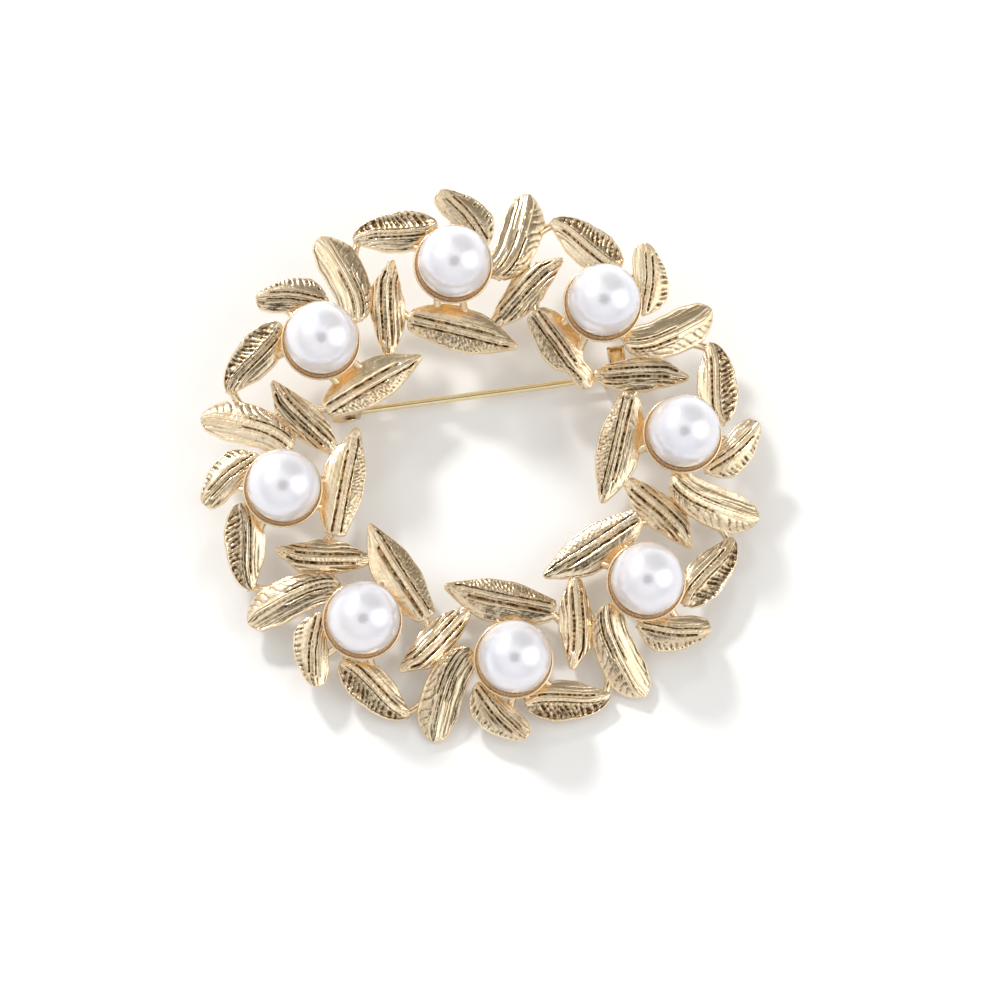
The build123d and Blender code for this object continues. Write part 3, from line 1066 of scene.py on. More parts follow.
@dataclass
class PearlCup:
    """The shallow cup that a pearl is set in."""

    wreath: WreathFrame
    wall: float = 0.32 * MM
    rim_reach: float = 0.27 * MM
    rim_drop: float = 1.3 * MM
    pearl_gap: float = 0.03 * MM
    lip_rise: float = 0.16 * MM
    lip_half: float = 0.085 * MM
    lip_drop: float = 0.12 * MM
    segments: int = 96
    bowl_rows: int = 16
    lip_rows: int = 15
    warm_rows: int = 20
    bright_rows: int = 10

    def __post_init__(self) -> None:
        """Work out the bowl under the pearl."""
        self.rim_radius = self.wreath.pearl_radius + self.rim_reach
        self.rim_height = self.wreath.pearl_height - self.rim_drop
        depth = self.wreath.pearl_radius + self.pearl_gap - self.rim_drop
        inner_rim = self.rim_radius - self.wall
        self.bowl_radius = (inner_rim**2 + depth**2) / (2 * depth)
        self.bowl_centre = self.rim_height - depth + self.bowl_radius

    def wall_point(self, bearing: float, drop: float) -> np.ndarray:
        """Return a point inside the wall of the first spray's cup.

        Args:
            bearing: Degrees from +X round the cup.
            drop: Depth under the rim.

        Returns:
            The point in the first spray.
        """
        height = self.rim_height - drop
        across = sqrt((self.bowl_radius + self.wall / 2) ** 2 - (self.bowl_centre - height) ** 2)
        turn = radians(bearing)
        return np.array([across * cos(turn), self.wreath.ring_radius + across * sin(turn), height])

    def shell(self) -> Shell:
        """Build the first spray's cup, a bowl with a rounded lip, painted with an orange reflection of gold
        inside and left plain bright gold on top.

        Returns:
            The shell, with its mask of painted reflection and its flow values.
        """
        fall = self.bowl_centre - self.rim_height

        def bowl(radius: float) -> np.ndarray:
            """Return the profile of one face of the bowl, from the axis up to the lip."""
            turns = np.linspace(0.0, asin((radius**2 - fall**2) ** 0.5 / radius) - 0.03, self.bowl_rows)
            return np.column_stack([radius * np.sin(turns), self.bowl_centre - radius * np.cos(turns)])

        lip_low = self.rim_height - self.lip_drop
        lip = [
            (self.rim_radius - self.lip_half * (1 - cos(angle)), lip_low + self.lip_rise * sin(angle) ** 0.7)
            for angle in np.linspace(radians(176), radians(4), self.lip_rows)
        ]
        outside = bowl(self.bowl_radius + self.wall)[::-1]
        made = lathe(np.concatenate([bowl(self.bowl_radius), np.array(lip), outside]), self.segments)
        # Painted orange reflection of the gold: full inside the bowl, none on the lip's top, so it stays
        # plain bright gold, and a little on the outside.
        warmth = np.full(len(made.points), 0.3)
        warm, bright = self.warm_rows * self.segments, self.bright_rows * self.segments
        warmth[:warm] = 1.0
        warmth[warm : warm + bright] = 0.0
        made = made.moved(Matrix.Translation((0, self.wreath.ring_radius, 0)))
        made.values = {"patina_and_painted_light": warmth, "flow": made.points.copy()}
        return made


@dataclass
class Spray:
    """One spray of the wreath: a cup, five leaves and the links between them."""

    wreath: WreathFrame
    floor: float = 0.5 * MM
    rise: float = 1.6 * MM
    link_radius: float = 0.35 * MM
    link_waist: float = 0.86
    link_flare: float = 0.5
    link_dirt: float = 0.12
    link_rows: int = 13
    link_segments: int = 20
    lug_drop: float = 0.9 * MM
    leaf_turn: float = radians(1.6)
    leaf_shift: float = 0.07 * MM
    cup_swell: float = 0.05 * MM
    leaves: dict[str, CastLeaf] = field(default_factory=dict)

    def __post_init__(self) -> None:
        """Set the cup and the leaves out in the first spray."""
        self.cup = PearlCup(self.wreath)
        for leaf in (self.leaf_a(), self.leaf_b(), self.leaf_c(), self.leaf_d(), self.leaf_e()):
            self.leaves[leaf.name] = leaf

    def level(self, share: float) -> float:
        """Return a height in the wreath as a share of its rise."""
        return self.floor + self.rise * share

    def on_cup(self, bearing: float, reach: float) -> Vector:
        """Return a point beside the cup at a bearing in degrees from +X."""
        distance = self.cup.rim_radius + reach
        turn = radians(bearing)
        return Vector((distance * cos(turn), self.wreath.ring_radius + distance * sin(turn), 0))

    def in_ring(self, across: float, outward: float) -> Vector:
        """Return a point of the spray as shares of the ring's radius."""
        radius = self.wreath.ring_radius
        return Vector((across * radius, radius * (1 + outward), 0))

    def leaf_a(self) -> CastLeaf:
        """Return the short leaf that curls over the top of the pearl."""
        return CastLeaf(
            name="a",
            root=self.on_cup(24, 0.1 * MM),
            heading=123.5,
            length=5.8 * MM,
            width=2.95 * MM,
            root_height=self.level(0.90),
            tip_height=self.level(0.75),
            table=(
                (0.00, -0.02, 0.10, -0.14, 0.60),
                (0.15, -0.07, 0.10, -0.52, 0.95),
                (0.32, -0.13, 0.18, -0.68, 1.00),
                (0.55, -0.16, 0.27, -0.64, 1.00),
                (0.76, -0.13, 0.31, -0.47, 0.95),
                (0.92, -0.10, 0.26, -0.27, 0.85),
                (1.00, -0.05, 0.12, -0.14, 0.50),
            ),
            left=Lobe(Relief.LENGTHWISE, 0.035 * MM, 0.26 * MM, drop=0.22 * MM),
            right=Lobe(
                Relief.VEINED, 0.09 * MM, 0.40 * MM, slant=72, drop=0.48 * MM, dish=0.05 * MM, rim=0.07 * MM,
                tarnish=0.2, work_from=0.45,
            ),
            left_groove=Groove(0.27 * MM, 0.055 * MM, 0.15 * MM, start=0.05, end=0.84, echo=0.22 * MM),
            right_groove=Groove(0.25 * MM, 0.075 * MM, 0.20 * MM, start=0.04, end=0.80),
            seed=11,
        )

    def leaf_b(self) -> CastLeaf:
        """Return the outer leaf that lies along the rim of the wreath."""
        return CastLeaf(
            name="b",
            root=self.on_cup(99, 0.42 * MM),
            heading=181,
            length=6.7 * MM,
            width=3.1 * MM,
            root_height=self.level(0.75),
            tip_height=self.level(0.15),
            table=(
                (0.00, 0.02, 0.14, -0.14, 0.60),
                (0.16, 0.07, 0.33, -0.38, 0.95),
                (0.40, 0.02, 0.53, -0.51, 1.00),
                (0.60, -0.05, 0.46, -0.50, 1.00),
                (0.80, -0.10, 0.27, -0.41, 0.90),
                (0.93, -0.06, 0.14, -0.26, 0.75),
                (1.00, 0.00, 0.07, -0.10, 0.45),
            ),
            left=Lobe(Relief.LENGTHWISE, 0.055 * MM, 0.28 * MM, drop=0.28 * MM),
            right=Lobe(
                Relief.VEINED, 0.12 * MM, 0.44 * MM, slant=76, drop=0.24 * MM, dish=0.22 * MM, rim=0.10 * MM,
                tarnish=0.5, worked=(0.10, 0.90),
            ),
            left_groove=Groove(0.40 * MM, 0.075 * MM, 0.22 * MM, start=0.14, end=0.80),
            right_groove=Groove(0.20 * MM, 0.05 * MM, 0.10 * MM, start=0.06, end=0.90),
            seed=22,
        )

    def leaf_c(self) -> CastLeaf:
        """Return the long curved leaf beside the pearl."""
        return CastLeaf(
            name="c",
            root=self.on_cup(-22, 0.0),
            heading=58,
            length=7.65 * MM,
            width=3.1 * MM,
            root_height=self.level(1.00),
            tip_height=self.level(0.00),
            table=(
                (0.00, -0.12, 0.08, -0.34, 0.60),
                (0.14, -0.27, 0.21, -0.62, 0.95),
                (0.32, -0.33, 0.19, -0.77, 1.00),
                (0.52, -0.30, 0.24, -0.79, 1.00),
                (0.72, -0.23, 0.30, -0.75, 1.00),
                (0.88, -0.16, 0.26, -0.55, 0.90),
                (1.00, -0.05, 0.06, -0.18, 0.45),
            ),
            left=Lobe(
                Relief.LENGTHWISE, 0.04 * MM, 0.34 * MM, drop=0.24 * MM, dish=0.07 * MM, rim=0.09 * MM
            ),
            right=Lobe(Relief.STROKED, 0.045 * MM, 0.46 * MM, slant=36, drop=0.50 * MM, tarnish=0.18),
            left_groove=Groove(0.38 * MM, 0.06 * MM, 0.18 * MM, end=0.56, echo=0.24 * MM),
            right_groove=Groove(0.36 * MM, 0.075 * MM, 0.22 * MM, end=0.52, echo=0.25 * MM),
            rib_rise=0.10 * MM,
            seed=33,
        )

    def leaf_d(self) -> CastLeaf:
        """Return the hooked leaf that points outward between two sprays."""
        return CastLeaf(
            name="d",
            root=self.in_ring(0.172, -0.295),
            heading=34,
            length=7.4 * MM,
            width=2.85 * MM,
            root_height=self.level(0.15),
            tip_height=self.level(0.65),
            table=(
                (0.00, 0.00, 0.16, -0.14, 0.60),
                (0.14, 0.04, 0.31, -0.27, 0.95),
                (0.33, 0.09, 0.47, -0.42, 1.00),
                (0.53, 0.14, 0.61, -0.40, 1.00),
                (0.72, 0.15, 0.52, -0.27, 0.95),
                (0.88, 0.10, 0.26, -0.16, 0.80),
                (1.00, 0.00, 0.08, -0.06, 0.45),
            ),
            left=Lobe(Relief.LENGTHWISE, 0.08 * MM, 0.30 * MM, drop=0.36 * MM, tarnish=0.05),
            right=Lobe(Relief.LENGTHWISE, 0.11 * MM, 0.33 * MM, drop=0.30 * MM, tarnish=0.1),
            left_groove=Groove(0.34 * MM, 0.09 * MM, 0.20 * MM, start=0.12, end=0.86),
            right_groove=Groove(0.36 * MM, 0.09 * MM, 0.20 * MM, start=0.08, end=0.78),
            seed=44,
        )

    def leaf_e(self, **changes: object) -> CastLeaf:
        """Return the large inner leaf, with any changed fields."""
        fields = {
            "name": "e",
            "root": self.in_ring(-0.257, -0.229),
            "heading": -21,
            "length": 8.85 * MM,
            "width": 3.45 * MM,
            "root_height": self.level(0.70),
            "tip_height": self.level(0.15),
            "table": (
                (0.00, 0.01, 0.25, -0.18, 0.75),
                (0.16, 0.01, 0.47, -0.29, 0.95),
                (0.40, 0.02, 0.61, -0.41, 1.00),
                (0.60, 0.02, 0.57, -0.39, 1.00),
                (0.80, 0.01, 0.37, -0.24, 0.95),
                (0.93, 0.00, 0.17, -0.12, 0.75),
                (1.00, 0.00, 0.06, -0.05, 0.45),
            ),
            "left": Lobe(Relief.STROKED, 0.009 * MM, 0.6 * MM, slant=38, drop=0.32 * MM, rim=0.07 * MM),
            "right": Lobe(
                Relief.HAMMERED, 0.045 * MM, 0.34 * MM, slant=50, drop=0.40 * MM, rim=0.06 * MM, tarnish=0.14
            ),
            "left_groove": Groove(0.37 * MM, 0.09 * MM, 0.24 * MM, start=0.01, end=0.76),
            "right_groove": Groove(0.32 * MM, 0.065 * MM, 0.22 * MM, start=0.02, end=0.90),
            "seed": 55,
        }
        return CastLeaf(**{**fields, **changes})

    def leaf_e_bent(self) -> CastLeaf:
        """Return the inner leaf beside the catch, whose blunt end is bent down."""
        return self.leaf_e(
            heading=-17.5,
            length=7.45 * MM,
            table=(
                (0.00, 0.01, 0.25, -0.18, 0.75),
                (0.18, 0.01, 0.49, -0.31, 0.95),
                (0.44, 0.02, 0.60, -0.40, 1.00),
                (0.62, 0.02, 0.44, -0.31, 1.00),
                (0.74, 0.03, 0.33, -0.12, 0.95),
                (0.80, 0.09, 0.35, -0.12, 0.95),
                (0.92, 0.12, 0.36, -0.12, 0.95),
                (1.00, 0.12, 0.28, -0.04, 0.75),
            ),
            left_groove=Groove(0.37 * MM, 0.09 * MM, 0.24 * MM, start=0.01, end=0.68),
            right_groove=Groove(0.32 * MM, 0.075 * MM, 0.24 * MM, start=0.02, end=0.86),
            bend=12.0,
            bend_from=0.72,
            seed=56,
        )

    def links(self) -> Shell:
        """Build the sprue links of the first spray, flared where they meet the leaves."""
        plan = (
            Link("c", (0.66, -0.75), "b", (0.94, 0.0), end_turn=1),
            Link("d", (0.50, -0.70), "e", (0.06, 0.1), end_turn=1),
            Link("d", (0.05, 0.0), "e", (0.76, 0.6)),
            Link("d", (0.60, 0.70), "c", (0.26, -0.8)),
            Link("a", (0.08, 0.0), "cup", bearing=25),
            Link("a", (0.56, 0.7), "cup", bearing=86),
            Link("b", (0.06, 0.0), "cup", bearing=100),
            Link("b", (0.36, 0.7), "cup", bearing=140),
            Link("c", (0.06, 0.0), "cup", bearing=-22),
            Link("e", (0.24, 0.7), "cup", bearing=-130),
            Link("e", (0.50, 0.7), "cup", bearing=-80),
        )
        shells = []
        share = np.linspace(0, 1, self.link_rows)
        radii = self.link_radius * (self.link_waist + self.link_flare * np.abs(2 * share - 1) ** 3)
        for link in plan:
            start = self.leaves[link.start].inner_point(*link.start_at)
            if link.end == "cup":
                end = self.cup.wall_point(link.bearing, self.lug_drop)
            else:
                turn = np.array(spray_turn(link.end_turn).to_3x3())
                end = turn @ self.leaves[link.end].inner_point(*link.end_at)
            shells.append(tube(start + (end - start) * share[:, None], radii, self.link_segments))
        made = reduce(Shell.joined, shells)
        # The links are darkened a little all over through the same mask.
        dark_share = np.full(len(made.points), self.link_dirt)
        made.values = {"patina_and_painted_light": dark_share, "flow": made.points.copy()}
        return made

    def build(self, gilt: bpy.types.Material, cup_gilt: bpy.types.Material) -> list[bpy.types.Object]:
        """Build the whole ring of sprays.

        Args:
            gilt: Material of the leaves and links.
            cup_gilt: Material of the cups, which holds their painted reflection of gold.

        Returns:
            The pieces of the casting, in the row frame.
        """
        made = []
        for name, leaf in self.leaves.items():
            middle = Vector(leaf.inner_point(0.5, 0.0))
            first, count = (2, SPRAYS - 1) if name == "e" else (0, SPRAYS)
            plan = RingPlan(first, count, self.leaf_turn, self.leaf_shift, seed=leaf.seed)
            made.append(plan.repeat(leaf.shell(), middle, f"leaf_ring_{name}", gilt))
        bent_leaf = self.leaf_e_bent().shell().moved(spray_turn(1)).to_object("leaf_bent")
        bent_leaf.data.materials.append(gilt)
        made.append(bent_leaf)
        centre = Vector((0, self.wreath.ring_radius, 0))
        made.append(RingPlan(swell=self.cup_swell).repeat(self.cup.shell(), centre, "pearl_cups", cup_gilt))
        made.append(RingPlan().repeat(self.links(), centre, "sprue_links", gilt))
        for piece in made:
            self.wreath.settle(piece)
            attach(piece, "wreath")
            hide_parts("wreath_casting")
        return made


@dataclass
class PearlSet:
    """The eight pearls."""

    wreath: WreathFrame
    unevenness: float = 0.006 * MM
    swell_most: float = 1.5
    facets: int = 5

    def build(self, lustre: bpy.types.Material) -> list[bpy.types.Object]:
        """Build each pearl a hair out of round, with its own faint swell.

        Args:
            lustre: Material of the pearls.

        Returns:
            The pearls, in the row frame.
        """
        made = []
        for number in range(SPRAYS):
            name = f"pearl_{number + 1}_lustre"
            mesh = bpy.data.meshes.new(name)
            work = bmesh.new()
            bmesh.ops.create_icosphere(work, subdivisions=self.facets, radius=self.wreath.pearl_radius)
            for vertex in work.verts:
                way = vertex.co.normalized()
                swell = sin(5 * way.x + number) * cos(4 * way.y - number) + 0.5 * sin(9 * way.z + 2 * number)
                vertex.co += way * (self.unevenness * (swell - self.swell_most))
            for face in work.faces:
                face.smooth = True
            work.to_mesh(mesh)
            work.free()
            place = Matrix.Translation((0, self.wreath.ring_radius, self.wreath.pearl_height))
            mesh.transform(spray_turn(number) @ place)
            mesh.materials.append(lustre)
            pearl = linked(name, mesh)
            self.wreath.settle(pearl)
            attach(pearl, "wreath")
            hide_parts(f"pearl_{number + 1}")
            made.append(pearl)
        return made


# Pin, hinge and catch


def ray_lengths(
    angles: np.ndarray,
    circles: tuple[tuple[float, float], ...],
    boxes: tuple[tuple[float, float, float, float], ...] = (),
) -> np.ndarray:
    """Return how far a joined outline of circles and boxes reaches at each angle.

    Args:
        angles: Angles from +X.
        circles: For each circle, the x of its middle, on the X axis, and its radius.
        boxes: For each box that holds the origin, its lowest and highest x, then its lowest and highest y.

    Returns:
        Distances from the origin to the joined outline.
    """
    x, y = np.cos(angles), np.sin(angles)
    reach = np.zeros_like(angles)
    for middle, radius in circles:
        inside = (x * middle) ** 2 - middle**2 + radius**2
        reach = np.maximum(reach, np.where(inside > 0, x * middle + np.sqrt(np.abs(inside)), 0))
    for low_x, high_x, low_y, high_y in boxes:
        with np.errstate(divide="ignore"):
            to_x = np.where(x > 0, high_x / x, np.where(x < 0, low_x / x, np.inf))
            to_y = np.where(y > 0, high_y / y, np.where(y < 0, low_y / y, np.inf))
        reach = np.maximum(reach, np.minimum(np.abs(to_x), np.abs(to_y)))
    return reach


def outline(angles: np.ndarray, lengths: np.ndarray | float) -> np.ndarray:
    """Return the points at some angles and distances from the origin."""
    return np.column_stack([lengths * np.cos(angles), lengths * np.sin(angles)])


def open_arc(half_gap: float, radius: float, count: int) -> np.ndarray:
    """Return the angles round a circle from one side of the gap at its foot to the other."""
    start = asin(half_gap / radius)
    return -pi / 2 + start + (tau - 2 * start) * np.linspace(0, 1, count)


@dataclass
class PinHardware:
    """Sizes and places that the hinge, the pin and the catch share."""

    wreath: WreathFrame
    pin_line_y: float = 6.3 * MM
    pin_height: float = -3.0 * MM
    hinge_x: float = -9.25 * MM
    catch_x: float = 12.2 * MM
    rivet_radius: float = 0.30 * MM
    eye_width: float = 0.66 * MM
    ear_thickness: float = 0.24 * MM
    ear_side_gap: float = 0.05 * MM
    rivet_gap: float = 0.02 * MM
    ring_width: float = 0.6 * MM
    sleeve_radius: float = 0.58 * MM
    sleeve_gap: float = 0.05 * MM
    collar_width: float = 1.3 * MM
    bevel: float = 0.08 * MM

    def along_rivet(self) -> Matrix:
        """Return the place of a shape drawn about the hinge's rivet, its Z along the rivet."""
        turn = Matrix(((1, 0, 0), (0, 0, -1), (0, 1, 0))).to_4x4()
        return Matrix.Translation((self.hinge_x, self.pin_line_y, self.pin_height)) @ turn

    def along_pin(self, x: float) -> Matrix:
        """Return the place of a shape drawn about the pin's line at an x, its Z along the pin."""
        turn = Matrix(((0, 0, 1), (1, 0, 0), (0, 1, 0))).to_4x4()
        return Matrix.Translation((x, self.pin_line_y, self.pin_height)) @ turn

    def dress(self, shell: Shell, name: str, material: bpy.types.Material) -> bpy.types.Object:
        """Turn a shell into a finished piece with softened edges, in the row frame.

        Args:
            shell: The closed shells, in the flat wreath.
            name: Name of the piece.
            material: Its material.

        Returns:
            The piece.
        """
        piece = softened(shell.to_object(name), self.bevel)
        piece.data.materials.clear()
        piece.data.materials.append(material)
        return self.wreath.settle(piece)


@dataclass
class HingeBracket(PinHardware):
    """Plate under the leaves with two long ears for the rivet."""

    plate: tuple[float, float, float] = (2.3 * MM, 1.5 * MM, 0.7 * MM)
    plate_top: float = 1.066 * MM
    ear_radius: float = 0.75 * MM
    ear_reach: float = 0.7 * MM
    ear_points: int = 144

    def build(self, gilt: bpy.types.Material) -> bpy.types.Object:
        """Build the bracket, soldered to the casting."""
        thick = self.plate[2]
        plate_x = self.hinge_x - self.ear_reach / 2
        shell = slab((plate_x, self.pin_line_y, self.plate_top - thick / 2), self.plate)
        reach = self.plate_top - thick / 2 - self.pin_height
        angles = np.linspace(0, tau, self.ear_points, endpoint=False)
        side, back = self.ear_radius, -self.ear_reach
        circles = ((0.0, side), (back, side))
        boxes = ((back - side, side, -NO_WIDTH, reach), (back, NO_WIDTH, -side, side))
        outer = outline(angles, ray_lengths(angles, circles, boxes))
        inner = outline(angles, self.rivet_radius + self.rivet_gap)
        middle = self.eye_width / 2 + self.ear_side_gap + self.ear_thickness / 2
        for way in (-1, 1):
            low = way * middle - self.ear_thickness / 2
            ear = banded(outer, inner, low, low + self.ear_thickness, closed=True)
            shell = shell.joined(ear.moved(self.along_rivet()))
        piece = self.dress(shell, "hinge_bracket", gilt)
        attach(piece, "wreath")
        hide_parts("wreath_casting")
        return piece


@dataclass
class CatchBody(PinHardware):
    """Plate under the leaves with two open rings that hold the turning sleeve."""

    plate: tuple[float, float, float] = (2.7 * MM, 1.4 * MM, 0.7 * MM)
    plate_shift: float = -0.6 * MM
    plate_top: float = 0.626 * MM
    ring_radius: float = 0.85 * MM
    web_half: float = 0.45 * MM
    mouth_half: float = 0.36 * MM
    ring_points: int = 121

    def build(self, gilt: bpy.types.Material) -> bpy.types.Object:
        """Build the catch, soldered to the casting."""
        thick = self.plate[2]
        plate_y = self.pin_line_y + self.plate_shift
        shell = slab((self.catch_x, plate_y, self.plate_top - thick / 2), self.plate)
        reach = self.plate_top - thick / 2 - self.pin_height
        bore = self.sleeve_radius + self.sleeve_gap
        angles = open_arc(self.mouth_half, self.ring_radius, self.ring_points)
        web = (-self.web_half, self.web_half, -NO_WIDTH, reach)
        outer = outline(angles, ray_lengths(angles, ((0.0, self.ring_radius),), (web,)))
        inner = outline(open_arc(self.mouth_half, bore, self.ring_points), bore)
        middle = self.collar_width / 2 + self.sleeve_gap + self.ring_width / 2
        for way in (-1, 1):
            low = way * middle - self.ring_width / 2
            ring = banded(outer, inner, low, low + self.ring_width, closed=False)
            shell = shell.joined(ring.moved(self.along_pin(self.catch_x)))
        piece = self.dress(shell, "catch_body", gilt)
        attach(piece, "wreath")
        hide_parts("wreath_casting")
        return piece


@dataclass
class PinStem(PinHardware):
    """Wire with an eye at the hinge and a long point."""

    eye_radius: float = 0.65 * MM
    running_gap: float = 0.05 * MM
    neck_radius: float = 0.32 * MM
    neck_end: float = 1.3 * MM
    wire_radius: float = 0.3 * MM
    taper_start: float = 16.35 * MM
    tip: float = 23.35 * MM
    tip_radius: float = 0.06 * MM
    root: float = 0.42 * MM
    root_end: float = 0.45 * MM
    neck_start: float = 0.8 * MM
    taper_belly: float = 0.02 * MM
    wire_segments: int = 40
    rows_per_length: int = 8
    eye_points: int = 72
    bevel: float = 0.06 * MM

    def build(self, wire: bpy.types.Material) -> bpy.types.Object:
        """Build the pin in its closed place."""
        taper_middle = (self.taper_start + self.tip) / 2
        profile = np.array(
            [
                (0.0, self.root),
                (self.neck_radius, self.root_end),
                (self.neck_radius, self.neck_start),
                (self.wire_radius, self.neck_end),
                (self.wire_radius, self.taper_start),
                ((self.wire_radius + self.tip_radius) / 2 + self.taper_belly, taper_middle),
                (self.tip_radius, self.tip - self.tip_radius),
                (0.0, self.tip),
            ]
        )
        corners = np.arange(len(profile))
        along = np.linspace(0, corners[-1], self.rows_per_length * corners[-1] + 1)
        fine = np.column_stack([np.interp(along, corners, column) for column in profile.T])
        shell = lathe(fine, self.wire_segments).moved(self.along_pin(self.hinge_x))
        angles = np.linspace(0, tau, self.eye_points, endpoint=False)
        half = self.eye_width / 2
        hole = outline(angles, self.rivet_radius + self.running_gap)
        eye = banded(outline(angles, self.eye_radius), hole, -half, half, closed=True)
        piece = self.dress(shell.joined(eye.moved(self.along_rivet())), "pin_wire_and_eye", wire)
        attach(piece, "pin")
        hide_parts("pin_stem")
        return piece


@dataclass
class HingeRivet(PinHardware):
    """Rivet through the ears and the eye, with two low domed heads."""

    head_radius: float = 0.42 * MM
    head_height: float = 0.16 * MM
    head_edge: float = 0.35
    dome_rows: int = 8
    segments: int = 48
    bevel: float = 0.03 * MM

    def build(self, findings: bpy.types.Material) -> bpy.types.Object:
        """Build the rivet."""
        seat = self.eye_width / 2 + self.ear_side_gap + self.ear_thickness + self.rivet_gap
        crown = 1 - self.head_edge
        dome = [
            (self.head_radius * cos(angle), seat + self.head_height * (self.head_edge + crown * sin(angle)))
            for angle in np.linspace(0, pi / 2, self.dome_rows)[:-1]
        ]
        half = [(self.rivet_radius, seat), (self.head_radius, seat), *dome, (0.0, seat + self.head_height)]
        profile = np.array([(radius, -height) for radius, height in half[::-1]] + half)
        piece = self.dress(lathe(profile, self.segments).moved(self.along_rivet()), "rivet_domed", findings)
        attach(piece, "wreath")
        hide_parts("hinge_rivet")
        return piece


@dataclass
class CatchLever(PinHardware):
    """Slotted sleeve with a collar and a thumb tab with raised rims, which turns in the catch."""

    bore: float = 0.4 * MM
    slot_half: float = 0.32 * MM
    collar_radius: float = 0.83 * MM
    tab_length: float = 1.47 * MM
    tab_half: float = 0.18 * MM
    rim_width: float = 0.17 * MM
    rim_height: float = 0.34 * MM
    rim_sink: float = 0.05 * MM
    rim_gap: float = 0.02 * MM
    arc_points: int = 181
    bevel: float = 0.05 * MM

    def slotted(self, radius: float, box: tuple[float, ...], half_length: float) -> Shell:
        """Return a length of the sleeve or collar with its slot open downwards.

        Args:
            radius: Outer radius.
            box: Box of the tab, or of nothing.
            half_length: Half its length along the pin.

        Returns:
            The closed shell.
        """
        angles = open_arc(self.slot_half, radius, self.arc_points)
        outer = outline(angles, ray_lengths(angles, ((0.0, radius),), (box,)))
        inner = outline(open_arc(self.slot_half, self.bore, self.arc_points), self.bore)
        return banded(outer, inner, -half_length, half_length, closed=False)

    def rims(self, half_collar: float) -> Shell:
        """Build the rims that stand along the end and the two sides of the tab.

        Args:
            half_collar: Half the width of the tab along the pin.

        Returns:
            The three rims, in the flat wreath.
        """
        end = self.pin_line_y + self.collar_radius + self.tab_length
        start = self.pin_line_y + self.collar_radius
        middle_z = self.pin_height + self.tab_half + self.rim_height / 2 - self.rim_sink
        tall, wide = self.rim_height + 2 * self.rim_sink, self.rim_width
        made = slab((self.catch_x, end - wide / 2, middle_z), (2 * half_collar, wide, tall))
        for way in (-1, 1):
            side_x = self.catch_x + way * (half_collar - wide / 2)
            long = end - start - self.rim_gap
            made = made.joined(slab((side_x, (start + end) / 2, middle_z), (wide, long, tall)))
        return made

    def build(self, findings: bpy.types.Material) -> bpy.types.Object:
        """Build the lever in its open place."""
        half_length = self.collar_width / 2 + self.sleeve_gap + self.ring_width
        half_collar = self.collar_width / 2
        nothing = (-NO_WIDTH, NO_WIDTH, -NO_WIDTH, NO_WIDTH)
        tab = (-NO_WIDTH, self.collar_radius + self.tab_length, -self.tab_half, self.tab_half)
        shell = self.slotted(self.sleeve_radius, nothing, half_length)
        shell = shell.joined(self.slotted(self.collar_radius, tab, half_collar))
        shell = shell.moved(self.along_pin(self.catch_x)).joined(self.rims(half_collar))
        piece = self.dress(shell, "lever_with_tab", findings)
        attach(piece, "lever")
        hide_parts("catch_lever")
        return piece


# Studio


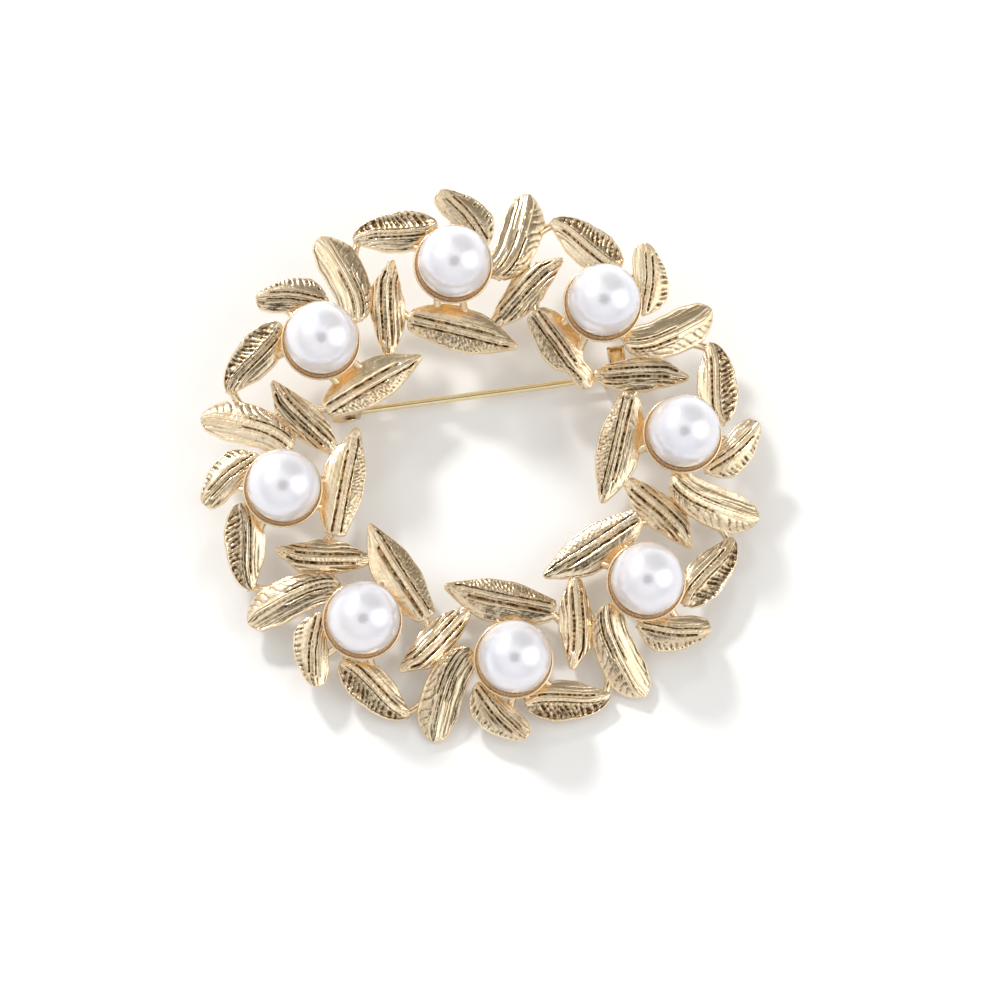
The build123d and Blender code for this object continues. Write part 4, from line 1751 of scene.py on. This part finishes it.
@dataclass
class Studio:
    """Floor, light and camera of the photograph."""

    wreath: WreathFrame
    distance: float = 0.6
    lens: float = 278.6
    sensor: float = 36.0
    clip: tuple[float, float] = (0.01, 10.0)
    pitch: float = -10.5
    yaw: float = 4.0
    roll: float = 8.585
    aim_right: float = 1.217 * MM
    aim_up: float = -3.264 * MM
    table_half: float = 2.0
    table_white: tuple[float, ...] = (0.79, 0.79, 0.785, 1.0)
    table_glow: float = 0.11
    table_glow_white: tuple[float, ...] = (1.0, 0.99, 0.985, 1.0)
    table_roughness: float = 0.75
    table_gloss: float = 0.2
    lamp_distance: float = 0.9
    lamp_white: tuple[float, float, float] = (1.0, 0.99, 0.975)
    base_light: float = 0.65
    tent_white: tuple[float, ...] = (0.98, 0.98, 0.975, 1.0)
    shade_tint: tuple[float, ...] = (1.0, 0.89, 0.72, 1.0)

    def __post_init__(self) -> None:
        """Work out the camera's own axes in the row frame."""
        turn = (
            Matrix.Rotation(radians(self.pitch), 3, "X")
            @ Matrix.Rotation(radians(self.yaw), 3, "Y")
            @ Matrix.Rotation(radians(self.roll), 3, "Z")
        )
        lay = self.wreath.matrix.to_3x3()
        self.right, self.up, self.back = ((lay @ Vector(row)).normalized() for row in turn)

    def camera(self) -> None:
        """Stand the camera where the photographer's stood, and make it the scene's."""
        data = bpy.data.cameras.new("camera")
        data.lens = self.lens
        data.sensor_width = self.sensor
        data.clip_start, data.clip_end = self.clip
        camera = linked("camera", data)
        centre = self.wreath.matrix @ Vector((0, 0, self.wreath.pearl_height))
        target = centre + self.right * self.aim_right + self.up * self.aim_up
        axes = Matrix((self.right, self.up, self.back)).transposed().to_4x4()
        camera.matrix_world = Matrix.Translation(target + self.back * self.distance) @ axes
        bpy.context.scene.camera = camera

    def direction(self, right: float, up: float, back: float) -> Vector:
        """Return a unit vector given along the camera's axes."""
        return (self.right * right + self.up * up + self.back * back).normalized()

    def floor(self) -> None:
        """Lay the white table top."""
        mesh = bpy.data.meshes.new("floor")
        half = self.table_half
        corners = [(-half, -half, 0), (half, -half, 0), (half, half, 0), (-half, half, 0)]
        mesh.from_pydata(corners, [], [(0, 1, 2, 3)])
        finish, make, shader = new_material("white_table")
        surface = {
            "Base Color": self.table_white,
            "Roughness": self.table_roughness,
            "Specular IOR Level": self.table_gloss,
            "Emission Color": self.table_glow_white,
            "Emission Strength": self.table_glow,
        }
        make.feed(shader, surface)
        mesh.materials.append(finish)
        floor = linked("floor", mesh)

    def softbox(self, name: str, way: Vector, size: float, power: float, mirrored: bool = True) -> None:
        """Hang one square lamp that faces the brooch.

        Args:
            name: Name of the lamp.
            way: Direction from the brooch to the lamp.
            size: Its side.
            power: Its power in watts.
            mirrored: Whether it shows in the metal and the pearls.
        """
        data = bpy.data.lights.new(name, "AREA")
        data.size = size
        data.energy = power
        data.color = self.lamp_white
        lamp = linked(name, data)
        lamp.location = way * self.lamp_distance
        lamp.rotation_mode = "QUATERNION"
        lamp.rotation_quaternion = way.to_track_quat("Z", "Y")
        lamp.visible_glossy = mirrored

    def sky(self) -> None:
        """Surround the table with a white tent that has bright and dim places.

        Each row of lights and shades has the middle of a soft disc, along the camera's axes, its
        inner and outer reach in degrees, and its strength.
        """
        world = bpy.data.worlds.new("tent")
        bpy.context.scene.world = world
        world.use_nodes = True
        make = NodeMaker(world.node_tree)
        way = make.add("ShaderNodeTexCoord").outputs["Generated"]

        def disc(middle: Vector, inner: float, outer: float, strength: float) -> bpy.types.NodeSocket:
            """Return a soft disc round a direction, from its strength inside to 0 outside."""
            dot = make.add("ShaderNodeVectorMath", {0: way, 1: middle}, operation="DOT_PRODUCT")
            source = (cos(radians(outer)), cos(radians(inner)))
            share = make.spread(dot.outputs["Value"], source, interpolation_type="SMOOTHSTEP")
            return make.math("MULTIPLY", share, strength)

        lights = (
            (self.direction(0.0, 0.1, 1.0), 25, 75, 0.26),
            (self.direction(0.0, 0.0, -1.0), 92, 118, 0.26),
            (self.direction(-0.64, 0.46, 0.62), 7, 28, 0.55),
            (self.direction(0.0, -0.90, 0.43), 15, 50, 0.22),
            (self.direction(0.82, 0.06, 0.57), 7, 37, 1.1),
        )
        shades = ((self.back, 8, 22, 1.0), (self.direction(0.39, 0.83, 0.40), 12, 42, 0.6))
        light: object = self.base_light
        warmth: object = 0.0
        for row in lights:
            light = make.math("ADD", disc(*row), light)
        for row in shades:
            shade = disc(*row)
            light = make.math("MULTIPLY", light, make.math("SUBTRACT", 1.0, shade))
            warmth = make.math("MAXIMUM", warmth, shade)
        tint = make.blend(warmth, self.tent_white, self.shade_tint)
        make.feed(world.node_tree.nodes["Background"], {"Color": tint, "Strength": light})

    def build(self) -> None:
        """Set the whole studio up."""
        self.floor()
        self.camera()
        self.sky()
        self.softbox("key_lamp", self.direction(-0.40, 0.83, 0.395), 0.10, 4.4)
        self.softbox("top_lamp", self.direction(0.08, 0.92, 0.38), 0.12, 0.9, mirrored=False)
        bpy.context.scene.view_settings.view_transform = "Standard"


def main() -> None:
    """Build the brooch and its studio."""
    logging.basicConfig(level=logging.INFO, format="%(message)s")
    wreath = WreathFrame.from_pearls(pearl_height=4.0 * MM)
    casting = GiltFinish("champagne_gilt").material()
    findings = GiltFinish("findings_gilt", roughness=0.2, grain_height=0.004 * MM, strokes=0.2).material()
    warm_brass = {"pale": (0.86, 0.60, 0.29), "warm": (0.78, 0.50, 0.21)}
    solder = GiltFinish("bracket_gilt", grain_height=0.006 * MM, strokes=0.2, **warm_brass).material()
    pale_brass = {"pale": (0.88, 0.76, 0.50), "warm": (0.80, 0.66, 0.40)}
    wire = GiltFinish("wire_gilt", roughness=0.18, grain_height=0.003 * MM, **pale_brass).material()
    # The cups' dark colour is a painted orange reflection of the surrounding gold.
    cup_painted_reflection = {"dark": (1.0, 0.70, 0.38), "roughness": 0.16, "dirt_roughness": 0.3}
    cup_gilt = GiltFinish("cup_gilt", grain_height=0.005 * MM, strokes=0.0, **cup_painted_reflection).material()
    pieces = Spray(wreath).build(casting, cup_gilt)
    pieces += PearlSet(wreath).build(PearlFinish().material())
    pieces.append(HingeBracket(wreath).build(solder))
    pieces.append(CatchBody(wreath).build(solder))
    pieces.append(PinStem(wreath).build(wire))
    pieces.append(HingeRivet(wreath).build(findings))
    pieces.append(CatchLever(wreath).build(findings))
    for piece in pieces:
        triangles = sum(len(face.vertices) - 2 for face in piece.data.polygons)
        LOG.info("%s: %d triangles", piece.name, triangles)
    Studio(wreath).build()


if __name__ == "__main__":
    main()
